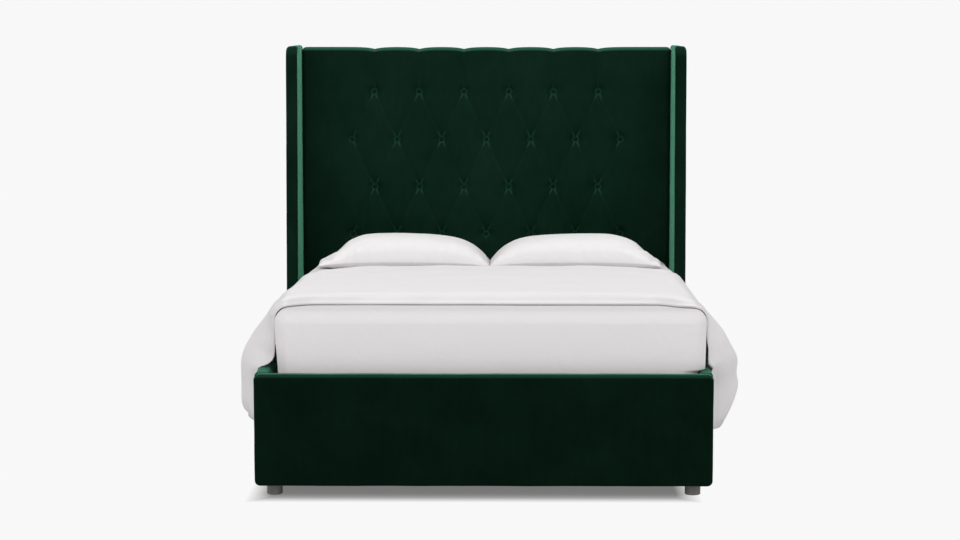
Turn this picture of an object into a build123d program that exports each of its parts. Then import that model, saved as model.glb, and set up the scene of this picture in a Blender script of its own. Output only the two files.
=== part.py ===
from build123d import *
import math
import os

# A wingback bed: a tufted headboard between two wings, a low footboard, side rails, a slatted base and
# made-up bedding. Lengths are in millimetres. X runs across the bed, Y from the foot to the head and Z up.
# The origin is on the floor under the middle of the bed. Left and right are as seen from the foot.

# Room left between pieces
seat_gap = 0.3
bore_gap = 0.2
overrun = 5

# Mattress and its fitted sheet
mattress_width = 1524
mattress_length = 2032
mattress_thickness = 305
mattress_edge_radius = 45
mattress_corner_radius = 60
mattress_draw_in = 8
sheet_thickness = 2

# Padded base: side rails and footboard
base_height = 401
rail_thickness = 42
footboard_thickness = 44
footboard_corner_radius = 21
mattress_side_gap = 9
mattress_end_gap = 12
cover_face_thickness = 10
cover_top_thickness = 9
cover_bottom_thickness = 6
cover_outer_radius = 9
cover_inner_radius = 5

# Headboard, from its back to the crest of the tufted pad
headboard_height = 1567
back_cover_thickness = 6
frame_bar_thickness = 26
board_thickness = 12
lower_cover_thickness = 6
pad_base_thickness = 16
puff_height = 30
pad_wrap_thickness = 12
pad_side_gap = 1
post_width = 100
frame_bar_width = 60
bottom_bar_width = 90

# Tufting of the headboard
pad_from_platform = 195.5
tuft_columns = 7
tuft_rows = 4
tuft_pitch_x = 197.8
tuft_margin_z = 195
pleat_half_width = 2
puff_shoulder = 54
rim_width = 0.5
rim_shoulder = 18
puff_height_shares = (0, 0.62, 0.9, 1)
puff_inset_shares = (0, 0.18, 0.5, 1)
dip_radius = 60
dip_depth = 7
button_radius = 11
button_edge = 2
button_rise = 7

# Wings
wing_gap = 2
wing_rise = 8
wing_thickness = 52
wing_depth_top = 200
wing_depth_bottom = 285
wing_corner_radius = 50
wing_edge_radius = 14
wing_core_thickness = 18
wing_front_pad = 22
wing_top_pad = 20
wing_back_pad = 10
wing_bolt_radius = 4
wing_bolt_bite = 14
wing_bolt_head_radius = 6.5
wing_bolt_head_height = 5.3
wing_bolt_height_shares = (0.16, 0.52, 0.88)

# Slatted base
platform_height = 350
slat_count = 11
slat_width = 95
slat_thickness = 18
slat_end_gap = 3
slat_edge_margin = 15
cleat_width = 30
cleat_height = 30
cleat_end_gap = 4
beam_width = 50
beam_height = 70
hanger_thickness = 3
hanger_seat_length = 45
hanger_side_height = 48
hanger_ear = 28
hanger_drop = 22
leg_width = 45
leg_spacing = 700
leg_floor_gap = 26
leveller_radius = 19
leveller_pad_height = 8
leveller_thread_radius = 4
leveller_thread_length = 52
leveller_travel = 12
leveller_bore_gap = 0.3

# Feet and corner brackets
foot_height = 36
foot_radius = 28
foot_edge_radius = 3
foot_from_rail = 26
foot_from_board = 18
bracket_thickness = 3
bracket_reach = 72
bracket_height = 200
stud_radius = 4
nut_radius = 7.5
nut_sides = 6
nut_height = 6.5
stud_end = 2

# Screws of the brackets and the slats
screw_radius = 2.5
screw_bite = 22
screw_head_radius = 6
screw_head_height = 4
screw_reach = 45
screw_height_shares = (0.3, 0.8)
slat_screw_radius = 2
slat_screw_head_radius = 4.5
slat_screw_bite = 18
countersink_angle = 90

# Duvet
duvet_thickness = 26
duvet_hem_thickness = 12
duvet_hem_run = 34
duvet_crown = 8
duvet_from_foot = 239
duvet_hem_height = 215
duvet_flare_angle = 33
duvet_slope = 168
duvet_bend_radius = 120
duvet_fold_depth = 22
duvet_fold_shares_left = (0.2, 0.9, -0.3, -0.9, 0.1, 1, 0, -1, -0.1, 0.8, 0.1, -0.8, 0, 0.9, 0.2)
duvet_fold_shares_right = (-0.2, 0.5, 1, 0, -0.9, -0.1, 0.9, 0.1, -1, -0.3, 0.8, 0.3, -0.7, 0.4, 0.9)
hem_bulge_share = 0.35
crown_middle_share = 0.75

# Pillows
pillow_width = 738
pillow_depth = 520
pillow_thickness = 124
pillow_seam_height = 30
pillow_spacing = 744
pillow_shift = 17
pillow_from_head = 103
pillow_from_duvet = 26
pillow_flat = 2
pillow_station_shares = (-1, -0.83, -0.64, -0.42, 0, 0.42, 0.64, 0.83, 1)
pillow_height_shares = (0.1, 0.4, 0.74, 0.93, 1, 0.93, 0.74, 0.4, 0.1)
pillow_depth_shares = (1, 0.985, 0.965, 0.955, 0.95, 0.955, 0.965, 0.985, 1)
pillow_shoulder_share = 0.4
pillow_shoulder_height_share = 0.62

# Places along the bed
pad_thickness = pad_base_thickness + puff_height
headboard_thickness = back_cover_thickness + frame_bar_thickness + board_thickness + pad_thickness
bed_length = footboard_thickness + 2 * mattress_end_gap + mattress_length + headboard_thickness
foot_face_y = -bed_length / 2
footboard_back_y = foot_face_y + footboard_thickness
headboard_back_y = bed_length / 2
frame_back_y = headboard_back_y - back_cover_thickness
board_back_y = frame_back_y - frame_bar_thickness
board_face_y = board_back_y - board_thickness
lower_cover_face_y = board_face_y - lower_cover_thickness
pad_base_y = board_face_y - pad_base_thickness
pad_face_y = pad_base_y - puff_height
mattress_foot_y = footboard_back_y + mattress_end_gap
mattress_middle_y = mattress_foot_y + mattress_length / 2
pillow_middle_y = mattress_foot_y + mattress_length - pillow_from_head - pillow_depth / 2
duvet_start_y = foot_face_y + duvet_from_foot
duvet_end_y = pillow_middle_y - pillow_depth / 2 - pillow_from_duvet
duvet_length = duvet_end_y - duvet_start_y

# Places across the bed, on the right-hand side
mattress_half = mattress_width / 2
rail_inner_x = mattress_half + mattress_side_gap
rail_outer_x = rail_inner_x + rail_thickness
base_width = 2 * rail_outer_x
wing_inner_x = rail_outer_x + wing_gap
wing_outer_x = wing_inner_x + wing_thickness
pad_half_width = wing_inner_x - pad_side_gap
post_inner_x = wing_inner_x - post_width
cleat_inner_x = rail_inner_x - cleat_width

# Heights
base_bottom_z = foot_height
base_top_z = base_bottom_z + base_height
slat_bottom_z = platform_height - slat_thickness
cleat_bottom_z = slat_bottom_z - cleat_height
beam_bottom_z = slat_bottom_z - beam_height
mattress_bottom_z = platform_height + seat_gap
mattress_top_z = mattress_bottom_z + mattress_thickness
pad_top_z = headboard_height
pad_bottom_z = platform_height + pad_from_platform
tuft_pitch_z = (pad_top_z - pad_bottom_z - 2 * tuft_margin_z) / (tuft_rows - 1)
board_top_z = pad_top_z - pad_wrap_thickness
wing_top_z = headboard_height + wing_rise

sides = {"left": -1, "right": 1}
ends = {"foot": footboard_back_y, "head": lower_cover_face_y}
inwards = {"foot": 1, "head": -1}
foot_names = {"foot": "front", "head": "rear"}

os.makedirs("parts", exist_ok=True)


def save(piece, label):
    """Label a finished piece and write it as its own file."""
    piece.part.label = label
    export_step(piece.part, f"parts/{label}.step")


def across(y):
    """Plane across the bed at y, whose own X and Y are the bed's X and Z."""
    return Plane.XZ.offset(-y)


def block(x_span, y_span, z_span, mode=Mode.ADD):
    """A box that fills three spans, each given by its two ends in any order."""
    spans = [sorted(span) for span in (x_span, y_span, z_span)]
    lengths = [high - low for low, high in spans]
    with Locations(tuple(low for low, high in spans)):
        Box(*lengths, align=(Align.MIN, Align.MIN, Align.MIN), mode=mode)


def side_span(side, inner_x, outer_x):
    """The span between two distances from the bed's middle, on one side."""
    return (sides[side] * inner_x, sides[side] * outer_x)


def drill(planes, radius, depth):
    """Bore a hole of a given depth at each plane, against the way that the plane faces."""
    with Locations(*planes):
        Hole(radius, depth)


# Places of the screws, bolts and studs: each plane lies on the seat of a head and faces away from it


def bracket_screws(end, side):
    """Seats of the screws of one corner bracket: two into the side rail and two into the end panel."""
    rail_seat_x = sides[side] * (rail_inner_x - bracket_thickness)
    panel_seat_y = ends[end] + inwards[end] * bracket_thickness
    seats = []
    for share in screw_height_shares:
        z = base_bottom_z + share * bracket_height
        rail_point = (rail_seat_x, ends[end] + inwards[end] * screw_reach, z)
        panel_point = (sides[side] * (rail_inner_x - screw_reach), panel_seat_y, z)
        seats.append(Plane(origin=rail_point, z_dir=(-sides[side], 0, 0)))
        seats.append(Plane(origin=panel_point, z_dir=(0, inwards[end], 0)))
    return seats


def hanger_screws(end):
    """Seats of the screws in the two ears of a beam hanger."""
    seat_y = ends[end] + inwards[end] * hanger_thickness
    ear_x = beam_width / 2 + hanger_thickness + hanger_ear / 2
    lowest_z = beam_bottom_z - hanger_drop
    highest_z = beam_bottom_z + hanger_side_height
    seats = []
    for share in screw_height_shares:
        z = lowest_z + share * (highest_z - lowest_z)
        for sign in sides.values():
            seats.append(Plane(origin=(sign * ear_x, seat_y, z), z_dir=(0, inwards[end], 0)))
    return seats


def foot_place(end, side):
    """Axis of one foot, as an X and Y place."""
    return (sides[side] * (rail_inner_x - foot_from_rail), ends[end] + inwards[end] * foot_from_board)


def wing_bolts(side):
    """Seats of the bolts that hold one wing, on the inner face of the headboard post."""
    y = board_back_y + frame_bar_thickness / 2
    heights = [share * headboard_height for share in wing_bolt_height_shares]
    return [Plane(origin=(sides[side] * post_inner_x, y, z), z_dir=(-sides[side], 0, 0)) for z in heights]


def slat_ys():
    """Middles of the slats along the bed."""
    first = footboard_back_y + slat_edge_margin + slat_width / 2
    last = lower_cover_face_y - slat_edge_margin - slat_width / 2
    pitch = (last - first) / (slat_count - 1)
    return [first + pitch * number for number in range(slat_count)]


def slat_screws(y, z):
    """Seats of the two screws of the slat whose middle is at y."""
    reach = rail_inner_x - cleat_width / 2
    return [Plane(origin=(sign * reach, y, z)) for sign in sides.values()]


screw_length = bracket_thickness + screw_bite
wing_bolt_length = wing_inner_x - post_inner_x + (wing_thickness - wing_core_thickness) / 2 + wing_bolt_bite
slat_screw_length = slat_thickness + slat_screw_bite
panel_screws = {
    end: bracket_screws(end, "left") + bracket_screws(end, "right") + hanger_screws(end) for end in ends
}

# Footboard: a timber core with a padded cover on its face, top, bottom and ends

core_half_width = rail_outer_x - cover_face_thickness
core_bottom_z = base_bottom_z + cover_bottom_thickness
core_top_z = base_top_z - cover_top_thickness
core_face_y = foot_face_y + cover_face_thickness
core_corner_radius = footboard_corner_radius - cover_face_thickness


def panel_sketch(y, half_width, heights, corner_radius):
    """Upright panel with rounded corners, drawn across the bed at y between two heights."""
    low_z, high_z = heights
    with BuildSketch(across(y)) as panel:
        with Locations((0, (low_z + high_z) / 2)):
            RectangleRounded(2 * half_width, high_z - low_z, corner_radius)
    return panel.sketch


with BuildPart() as footboard_core:
    core_heights = (core_bottom_z, core_top_z)
    core_panel = panel_sketch(footboard_back_y, core_half_width, core_heights, core_corner_radius)
    extrude(core_panel, amount=footboard_back_y - core_face_y)
    drill(panel_screws["foot"], screw_radius + bore_gap, screw_length + bore_gap)
save(footboard_core, "footboard_core")

with BuildPart() as footboard_cover:
    base_heights = (base_bottom_z, base_top_z)
    cover_panel = panel_sketch(footboard_back_y, rail_outer_x, base_heights, footboard_corner_radius)
    extrude(cover_panel, amount=footboard_thickness)
    fillet(footboard_cover.faces().sort_by(Axis.Y)[0].edges(), radius=cover_outer_radius)
    extrude(core_panel, amount=footboard_back_y - core_face_y, mode=Mode.SUBTRACT)
save(footboard_cover, "footboard_cover")

# Side rails: a timber core whose cover wraps its face, top and bottom, and slat cleats on the bare inner face

rail_span = (footboard_back_y, lower_cover_face_y)

for side in sides:
    with BuildPart() as side_rail_core:
        block(side_span(side, rail_inner_x, core_half_width), rail_span, (core_bottom_z, core_top_z))
        for end in ends:
            drill(bracket_screws(end, side), screw_radius + bore_gap, screw_length + bore_gap)
    save(side_rail_core, f"side_rail_core_{side}")

    with BuildPart() as side_rail_cover:
        block(side_span(side, rail_inner_x, rail_outer_x), rail_span, (base_bottom_z, base_top_z))
        long_edges = side_rail_cover.edges().filter_by(Axis.Y)
        outer_edges = long_edges.sort_by(lambda edge: abs(edge.center().X))[-2:]
        inner_top_edge = (long_edges - outer_edges).sort_by(Axis.Z)[-1]
        fillet(outer_edges, radius=cover_outer_radius)
        fillet(inner_top_edge, radius=cover_inner_radius)
        block(
            side_span(side, rail_inner_x - overrun, core_half_width),
            rail_span,
            (core_bottom_z, core_top_z),
            mode=Mode.SUBTRACT,
        )
    save(side_rail_cover, f"side_rail_cover_{side}")

    with BuildPart() as slat_cleat:
        block(
            side_span(side, cleat_inner_x, rail_inner_x),
            (footboard_back_y + cleat_end_gap, lower_cover_face_y - cleat_end_gap),
            (cleat_bottom_z, slat_bottom_z),
        )
        for y in slat_ys():
            drill(slat_screws(y, slat_bottom_z), slat_screw_radius + bore_gap, slat_screw_bite + bore_gap)
    save(slat_cleat, f"slat_cleat_{side}")

# Slats, each with a countersunk screw at both ends

for number, y in enumerate(slat_ys(), start=1):
    with BuildPart() as slat:
        block(
            (-rail_inner_x + slat_end_gap, rail_inner_x - slat_end_gap),
            (y - slat_width / 2, y + slat_width / 2),
            (slat_bottom_z, platform_height),
        )
        with Locations(*slat_screws(y, platform_height)):
            CounterSinkHole(
                radius=slat_screw_radius + bore_gap,
                counter_sink_radius=slat_screw_head_radius + bore_gap,
                depth=slat_thickness + overrun,
                counter_sink_angle=countersink_angle,
            )
    save(slat, f"slat_{number:02d}")

with BuildPart() as slat_screw:
    slat_screw_head = slat_screw_head_radius - slat_screw_radius
    with BuildSketch(Plane.XZ):
        with BuildLine():
            Polyline(
                (0, 0),
                (slat_screw_head_radius, 0),
                (slat_screw_radius, -slat_screw_head),
                (slat_screw_radius, slat_screw_radius - slat_screw_length),
                (0, -slat_screw_length),
                close=True,
            )
        make_face()
    revolve(axis=Axis.Z)

with BuildPart() as slat_screw_set:
    for y in slat_ys():
        with Locations(*slat_screws(y, platform_height)):
            add(slat_screw.part)
save(slat_screw_set, "slat_screws")

# Centre beam, carried by a steel hanger at each end and two legs with screw-in levellers

with BuildPart() as centre_beam:
    block(
        (-beam_width / 2, beam_width / 2),
        (footboard_back_y + hanger_thickness, lower_cover_face_y - hanger_thickness),
        (beam_bottom_z, slat_bottom_z),
    )
save(centre_beam, "centre_beam")

for end in ends:
    with BuildPart() as beam_hanger:
        plate_y = ends[end] + inwards[end] * hanger_thickness
        seat_y = ends[end] + inwards[end] * hanger_seat_length
        side_x = beam_width / 2 + hanger_thickness
        block(
            (-side_x - hanger_ear, side_x + hanger_ear),
            (ends[end], plate_y),
            (beam_bottom_z - hanger_drop, beam_bottom_z + hanger_side_height),
        )
        block(
            (-side_x, side_x),
            (plate_y, seat_y),
            (beam_bottom_z - hanger_thickness, beam_bottom_z + hanger_side_height),
        )
        block(
            (-beam_width / 2, beam_width / 2),
            (plate_y, seat_y + inwards[end] * overrun),
            (beam_bottom_z, beam_bottom_z + hanger_side_height + overrun),
            mode=Mode.SUBTRACT,
        )
        drill(hanger_screws(end), screw_radius + bore_gap, hanger_thickness + bore_gap)
    save(beam_hanger, f"beam_hanger_{end}")

for end in ends:
    leg_y = -inwards[end] * leg_spacing / 2
    with BuildPart() as beam_leg:
        block(
            (-leg_width / 2, leg_width / 2),
            (leg_y - leg_width / 2, leg_y + leg_width / 2),
            (leg_floor_gap, beam_bottom_z),
        )
        bore_depth = leveller_pad_height + leveller_thread_length + leveller_travel + overrun - leg_floor_gap
        drill(
            [Plane(origin=(0, leg_y, leg_floor_gap), z_dir=(0, 0, -1))],
            leveller_thread_radius + leveller_bore_gap,
            bore_depth,
        )
    save(beam_leg, f"beam_leg_{end}")

    with BuildPart() as leveller:
        with BuildSketch(Plane.XY):
            with Locations((0, leg_y)):
                Circle(leveller_radius)
        extrude(amount=leveller_pad_height)
        with BuildSketch(Plane.XY.offset(leveller_pad_height)):
            with Locations((0, leg_y)):
                Circle(leveller_thread_radius)
        extrude(amount=leveller_thread_length)
    save(leveller, f"leveller_{end}")

# Corner brackets: two upright flanges and a foot plate in each corner of the base, with feet on studs

plate_top_z = base_bottom_z + bracket_thickness

for end in ends:
    for side in sides:
        corner = (sides[side] * rail_inner_x, ends[end])
        into = (-sides[side], inwards[end])
        thin = [corner[i] + into[i] * bracket_thickness for i in range(len(corner))]
        wide = [corner[i] + into[i] * bracket_reach for i in range(len(corner))]
        foot_x, foot_y = foot_place(end, side)

        with BuildPart() as corner_bracket:
            block((corner[0], thin[0]), (corner[1], wide[1]), (base_bottom_z, base_bottom_z + bracket_height))
            block((corner[0], wide[0]), (corner[1], thin[1]), (base_bottom_z, base_bottom_z + bracket_height))
            block((corner[0], wide[0]), (corner[1], wide[1]), (base_bottom_z, plate_top_z))
            drill(bracket_screws(end, side), screw_radius + bore_gap, bracket_thickness + bore_gap)
            stud_seat = Plane(origin=(foot_x, foot_y, plate_top_z))
            drill([stud_seat], stud_radius + bore_gap, bracket_thickness + bore_gap)
        save(corner_bracket, f"corner_bracket_{end}_{side}")

        with BuildPart() as foot:
            with BuildSketch(Plane.XY):
                with Locations((foot_x, foot_y)):
                    Circle(foot_radius)
            extrude(amount=foot_height)
            fillet(foot.edges().sort_by(Axis.Z)[0], radius=foot_edge_radius)
            with BuildSketch(Plane.XY.offset(foot_height)):
                with Locations((foot_x, foot_y)):
                    Circle(stud_radius)
            extrude(amount=bracket_thickness + nut_height + stud_end)
        save(foot, f"foot_{foot_names[end]}_{side}")

with BuildPart() as foot_nuts:
    with BuildSketch(Plane.XY.offset(plate_top_z)):
        with Locations(*[foot_place(end, side) for end in ends for side in sides]):
            RegularPolygon(nut_radius, nut_sides)
            Circle(stud_radius + bore_gap, mode=Mode.SUBTRACT)
    extrude(amount=nut_height)
save(foot_nuts, "foot_nuts")

with BuildPart() as bracket_screw:
    with BuildSketch(Plane.XY):
        Circle(screw_head_radius)
    extrude(amount=screw_head_height)
    fillet(bracket_screw.edges().sort_by(Axis.Z)[-1], radius=screw_head_height / 2)
    with BuildSketch(Plane.XY):
        Circle(screw_radius)
    extrude(amount=-screw_length)

with BuildPart() as bracket_screw_set:
    with Locations(*panel_screws["foot"], *panel_screws["head"]):
        add(bracket_screw.part)
save(bracket_screw_set, "bracket_screws")

# Headboard frame: timber posts and rails behind a plywood board, closed by a back cover

for side in sides:
    with BuildPart() as headboard_post:
        block(
            side_span(side, post_inner_x, wing_inner_x),
            (board_back_y, frame_back_y),
            (base_bottom_z, board_top_z),
        )
        drill(wing_bolts(side), wing_bolt_radius + bore_gap, post_width + bore_gap)
        drill(bracket_screws("head", side), screw_radius + bore_gap, screw_length + bore_gap)
    save(headboard_post, f"headboard_post_{side}")

headboard_rail_spans = {
    "headboard_top_rail": (board_top_z - frame_bar_width, board_top_z),
    "headboard_middle_rail": (pad_bottom_z - frame_bar_width / 2, pad_bottom_z + frame_bar_width / 2),
    "headboard_bottom_rail": (base_bottom_z, base_bottom_z + bottom_bar_width),
}
for label, z_span in headboard_rail_spans.items():
    with BuildPart() as headboard_rail:
        block((-post_inner_x, post_inner_x), (board_back_y, frame_back_y), z_span)
    save(headboard_rail, label)

with BuildPart() as headboard_board:
    block((-wing_inner_x, wing_inner_x), (board_face_y, board_back_y), (base_bottom_z, board_top_z))
    drill(panel_screws["head"], screw_radius + bore_gap, screw_length + bore_gap)
save(headboard_board, "headboard_board")

with BuildPart() as headboard_back_cover:
    block((-wing_inner_x, wing_inner_x), (frame_back_y, headboard_back_y), (base_bottom_z, pad_top_z))
save(headboard_back_cover, "headboard_back_cover")

with BuildPart() as headboard_lower_cover:
    block(
        (-pad_half_width, pad_half_width),
        (lower_cover_face_y, board_face_y),
        (base_bottom_z, pad_bottom_z),
    )
    drill(panel_screws["head"], screw_radius + bore_gap, screw_length + bore_gap)
save(headboard_lower_cover, "headboard_lower_cover")

# Tufted pad: a slab with one puff in each cell between the buttons


def row_z(row):
    """Height of a row of buttons, counted from the top."""
    return pad_top_z - tuft_margin_z - row * tuft_pitch_z


def row_xs(row):
    """Places of the buttons across one row: every other row is one button shorter."""
    count = tuft_columns - 1 + row % 2
    return [(index - (count - 1) / 2) * tuft_pitch_x for index in range(count)]


def tuft_cells():
    """Outlines of the cells between the buttons, anticlockwise as seen from the foot."""
    last = tuft_rows - 1
    cells = []
    for row in range(tuft_rows):
        z = row_z(row)
        xs = row_xs(row)
        for left, right in zip(xs, xs[1:]):
            middle = (left + right) / 2
            below = [(left, pad_bottom_z), (right, pad_bottom_z)]
            above = [(right, pad_top_z), (left, pad_top_z)]
            if row < last:
                below = [(middle, row_z(row + 1))]
            if row > 0:
                above = [(middle, row_z(row - 1))]
            cells.append([(left, z), *below, (right, z), *above])
        cells += edge_cells(row, xs[-1], z, last)
    return [[Vector(*corner) for corner in cell] for cell in cells]


def edge_cells(row, x, z, last):
    """The cells between the last button of a row and both sides of the pad, if the row has any."""
    edge = pad_half_width
    if row % 2 == 0:
        beside = x + tuft_pitch_x / 2
        below = [(x, pad_bottom_z), (edge, pad_bottom_z)]
        above = [(edge, pad_top_z), (x, pad_top_z)]
        if row < last:
            below = [(beside, row_z(row + 1)), (edge, row_z(row + 1))]
        if row > 0:
            above = [(edge, row_z(row - 1)), (beside, row_z(row - 1))]
        cell = [(x, z), *below, *above]
    elif row == last:
        cell = [(x, z), (x, pad_bottom_z), (edge, pad_bottom_z), (edge, z)]
    else:
        return []
    mirrored = [(-corner_x, corner_z) for corner_x, corner_z in reversed(cell)]
    return [cell, mirrored]


def on_border(start, end):
    """Whether a side of a cell lies on the outline of the pad."""
    upright = math.isclose(start.X, end.X) and math.isclose(abs(start.X), pad_half_width)
    level = math.isclose(start.Y, end.Y) and (start.Y >= pad_top_z or start.Y <= pad_bottom_z)
    return upright or level


def inset_cell(cell, share):
    """A cell with its sides moved inwards, by the puff's shoulder at pleats and the rim's at borders."""
    moved = []
    for start, end in zip(cell, cell[1:] + cell[:1]):
        along = (end - start).normalized()
        pleat = pleat_half_width + share * puff_shoulder
        rim = rim_width + share * rim_shoulder
        margin = rim if on_border(start, end) else pleat
        moved.append((start + Vector(-along.Y, along.X) * margin, along))
    corners = []
    for (point, along), (next_point, next_along) in zip(moved[-1:] + moved[:-1], moved):
        run = (next_point - point).cross(next_along).Z / along.cross(next_along).Z
        corners.append(point + along * run)
    return corners


button_places = [(x, row_z(row)) for row in range(tuft_rows) for x in row_xs(row)]

with BuildPart() as headboard_pad:
    block((-pad_half_width, pad_half_width), (pad_base_y, board_face_y), (pad_bottom_z, pad_top_z))
    block((-pad_half_width, pad_half_width), (board_face_y, frame_back_y), (board_top_z, pad_top_z))
    for cell in tuft_cells():
        for height_share, inset_share in zip(puff_height_shares, puff_inset_shares):
            with BuildSketch(across(pad_base_y - height_share * puff_height)):
                with BuildLine():
                    Polyline(*inset_cell(cell, inset_share), close=True)
                make_face()
        loft()
    with BuildSketch(across(pad_base_y)):
        with Locations(*button_places):
            Circle(button_radius + bore_gap)
    extrude(amount=puff_height + overrun, mode=Mode.SUBTRACT)
    with BuildSketch(across(frame_back_y + overrun)):
        with Locations(*[(x, pad_top_z + dip_radius - dip_depth) for x in row_xs(0)]):
            Circle(dip_radius)
    extrude(amount=frame_back_y + overrun - pad_face_y + overrun, mode=Mode.SUBTRACT)
save(headboard_pad, "headboard_pad")

with BuildPart() as tuft_button:
    with BuildSketch(Plane.XY):
        with BuildLine():
            Polyline((0, -button_rise), (0, 0), (button_radius, 0), (button_radius, -button_edge))
            TangentArc((0, -button_rise), (button_radius, -button_edge), tangent=(1, 0))
        make_face()
    revolve(axis=Axis.Y)

with BuildPart() as tuft_buttons:
    with Locations(*[(x, pad_base_y, z) for x, z in button_places]):
        add(tuft_button.part)
save(tuft_buttons, "tuft_buttons")

# Wings: a plywood core inside a padded cover, with a front edge that leans back towards the top


def wing_front_y(z):
    """Front edge of the wing at a height."""
    share = (z - base_bottom_z) / (wing_top_z - base_bottom_z)
    return pad_face_y - wing_depth_bottom + share * (wing_depth_bottom - wing_depth_top)


def wing_outline(x, low_z, front_pad, top_pad, back_pad, corner_radius):
    """Side view of a wing, drawn at x and moved inwards by the padding on its edges."""
    high_z = wing_top_z - top_pad
    back_y = headboard_back_y - back_pad
    front_top = (wing_front_y(high_z) + front_pad, high_z)
    with BuildSketch(Plane.YZ.offset(x)) as outline:
        with BuildLine():
            Polyline(
                (wing_front_y(low_z) + front_pad, low_z),
                (back_y, low_z),
                (back_y, high_z),
                front_top,
                close=True,
            )
        make_face()
        fillet(outline.vertices().sort_by_distance(front_top)[0], radius=corner_radius)
    return outline.sketch


wing_padding = (wing_thickness - wing_core_thickness) / 2
core_wing_radius = wing_corner_radius - wing_top_pad
bolt_hole_depth = wing_bolt_length + bore_gap

for side in sides:
    cover_x = min(side_span(side, wing_inner_x, wing_outer_x))
    core_x = cover_x + wing_padding

    with BuildPart() as wing_core:
        core_outline = wing_outline(
            core_x, base_bottom_z, wing_front_pad, wing_top_pad, wing_back_pad, core_wing_radius
        )
        extrude(core_outline, amount=wing_core_thickness)
        drill(wing_bolts(side), wing_bolt_radius + bore_gap, bolt_hole_depth)
    save(wing_core, f"wing_core_{side}")

    with BuildPart() as wing_cover:
        extrude(wing_outline(cover_x, base_bottom_z, 0, 0, 0, wing_corner_radius), amount=wing_thickness)
        face_edges = wing_cover.faces().filter_by(Axis.X).edges()
        fillet(face_edges - face_edges.group_by(Axis.Z)[0], radius=wing_edge_radius)
        extrude(core_outline, amount=wing_core_thickness, mode=Mode.SUBTRACT)
        drill(wing_bolts(side), wing_bolt_radius + bore_gap, bolt_hole_depth)
    save(wing_cover, f"wing_cover_{side}")

with BuildPart() as wing_bolt:
    with BuildSketch(Plane.XY):
        Circle(wing_bolt_head_radius)
    extrude(amount=wing_bolt_head_height)
    with BuildSketch(Plane.XY):
        Circle(wing_bolt_radius)
    extrude(amount=-wing_bolt_length)

with BuildPart() as wing_bolt_set:
    with Locations(*wing_bolts("left"), *wing_bolts("right")):
        add(wing_bolt.part)
save(wing_bolt_set, "wing_bolts")

# Mattress and fitted sheet


def mattress_form(inset, extra_depth):
    """Mattress block with sides that draw in towards the base, moved inwards and carried on downwards."""
    depth = mattress_thickness - inset + extra_depth
    slope = math.degrees(math.atan(mattress_draw_in / mattress_thickness))
    with BuildPart() as form:
        with BuildSketch(Plane.XY.offset(mattress_top_z - inset)):
            with Locations((0, mattress_middle_y)):
                RectangleRounded(
                    mattress_width - 2 * inset,
                    mattress_length - 2 * inset,
                    mattress_corner_radius - inset,
                )
        extrude(amount=depth, dir=(0, 0, -1), taper=slope)
        fillet(form.edges().group_by(Axis.Z)[-1], radius=mattress_edge_radius - inset)
    return form


mattress = mattress_form(sheet_thickness + seat_gap, 0)
save(mattress, "mattress")

sheet_lining = mattress_form(sheet_thickness, overrun)
with BuildPart() as fitted_sheet:
    add(mattress_form(0, 0).part)
    add(sheet_lining.part, mode=Mode.SUBTRACT)
save(fitted_sheet, "fitted_sheet")

# Duvet: flat on the mattress, round its edges, then out and down past both rails in shallow folds

duvet_corner_z = mattress_top_z - mattress_edge_radius
duvet_inner_radius = mattress_edge_radius + seat_gap
upright = 90


def polar(angle, radius):
    """A vector of a given length at an angle in degrees above the level."""
    return Vector(radius * math.cos(math.radians(angle)), radius * math.sin(math.radians(angle)))


def duvet_side(sign, thickness, slope):
    """Outline of one side of a duvet section, from the crown out, down, round the hem and back inside."""
    tilt = duvet_flare_angle
    corner = Vector(mattress_half - mattress_edge_radius, duvet_corner_z)
    bend = corner + polar(tilt, duvet_inner_radius - duvet_bend_radius) + polar(tilt - upright, slope)
    crown_z = corner.Y + duvet_inner_radius + thickness

    def at(point):
        """The point on this side of the bed."""
        return (sign * point.X, point.Y)

    ThreePointArc(
        (0, crown_z + duvet_crown),
        (sign * corner.X / 2, crown_z + crown_middle_share * duvet_crown),
        at(Vector(corner.X, crown_z)),
    )
    for layer in (thickness, 0):
        near = duvet_inner_radius + layer
        far = duvet_bend_radius + layer
        shoulder = corner + polar(tilt, near)
        knee = bend + polar(tilt, far)
        drop = bend + polar(0, far)
        edge_turn = corner + polar((upright + tilt) / 2, near)
        ThreePointArc(at(corner + polar(upright, near)), at(edge_turn), at(shoulder))
        Line(at(shoulder), at(knee))
        ThreePointArc(at(knee), at(bend + polar(tilt / 2, far)), at(drop))
        Line(at(drop), at(Vector(drop.X, duvet_hem_height)))
    hem_x = bend.X + duvet_bend_radius
    ThreePointArc(
        at(Vector(hem_x + thickness, duvet_hem_height)),
        at(Vector(hem_x + thickness / 2, duvet_hem_height - hem_bulge_share * thickness)),
        at(Vector(hem_x, duvet_hem_height)),
    )
    Line(at(corner + polar(upright, duvet_inner_radius)), (0, corner.Y + duvet_inner_radius))


def duvet_stations():
    """Places along the duvet with its thickness: thin at both hems, full between them."""
    full_run = duvet_length - 2 * duvet_hem_run
    steps = len(duvet_fold_shares_left) - 3
    places = [duvet_hem_run + full_run * step / steps for step in range(steps + 1)]
    stations = [(duvet_start_y + place, duvet_thickness) for place in places]
    first = (duvet_start_y, duvet_hem_thickness)
    last = (duvet_end_y, duvet_hem_thickness)
    return [first, *stations, last]


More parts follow.
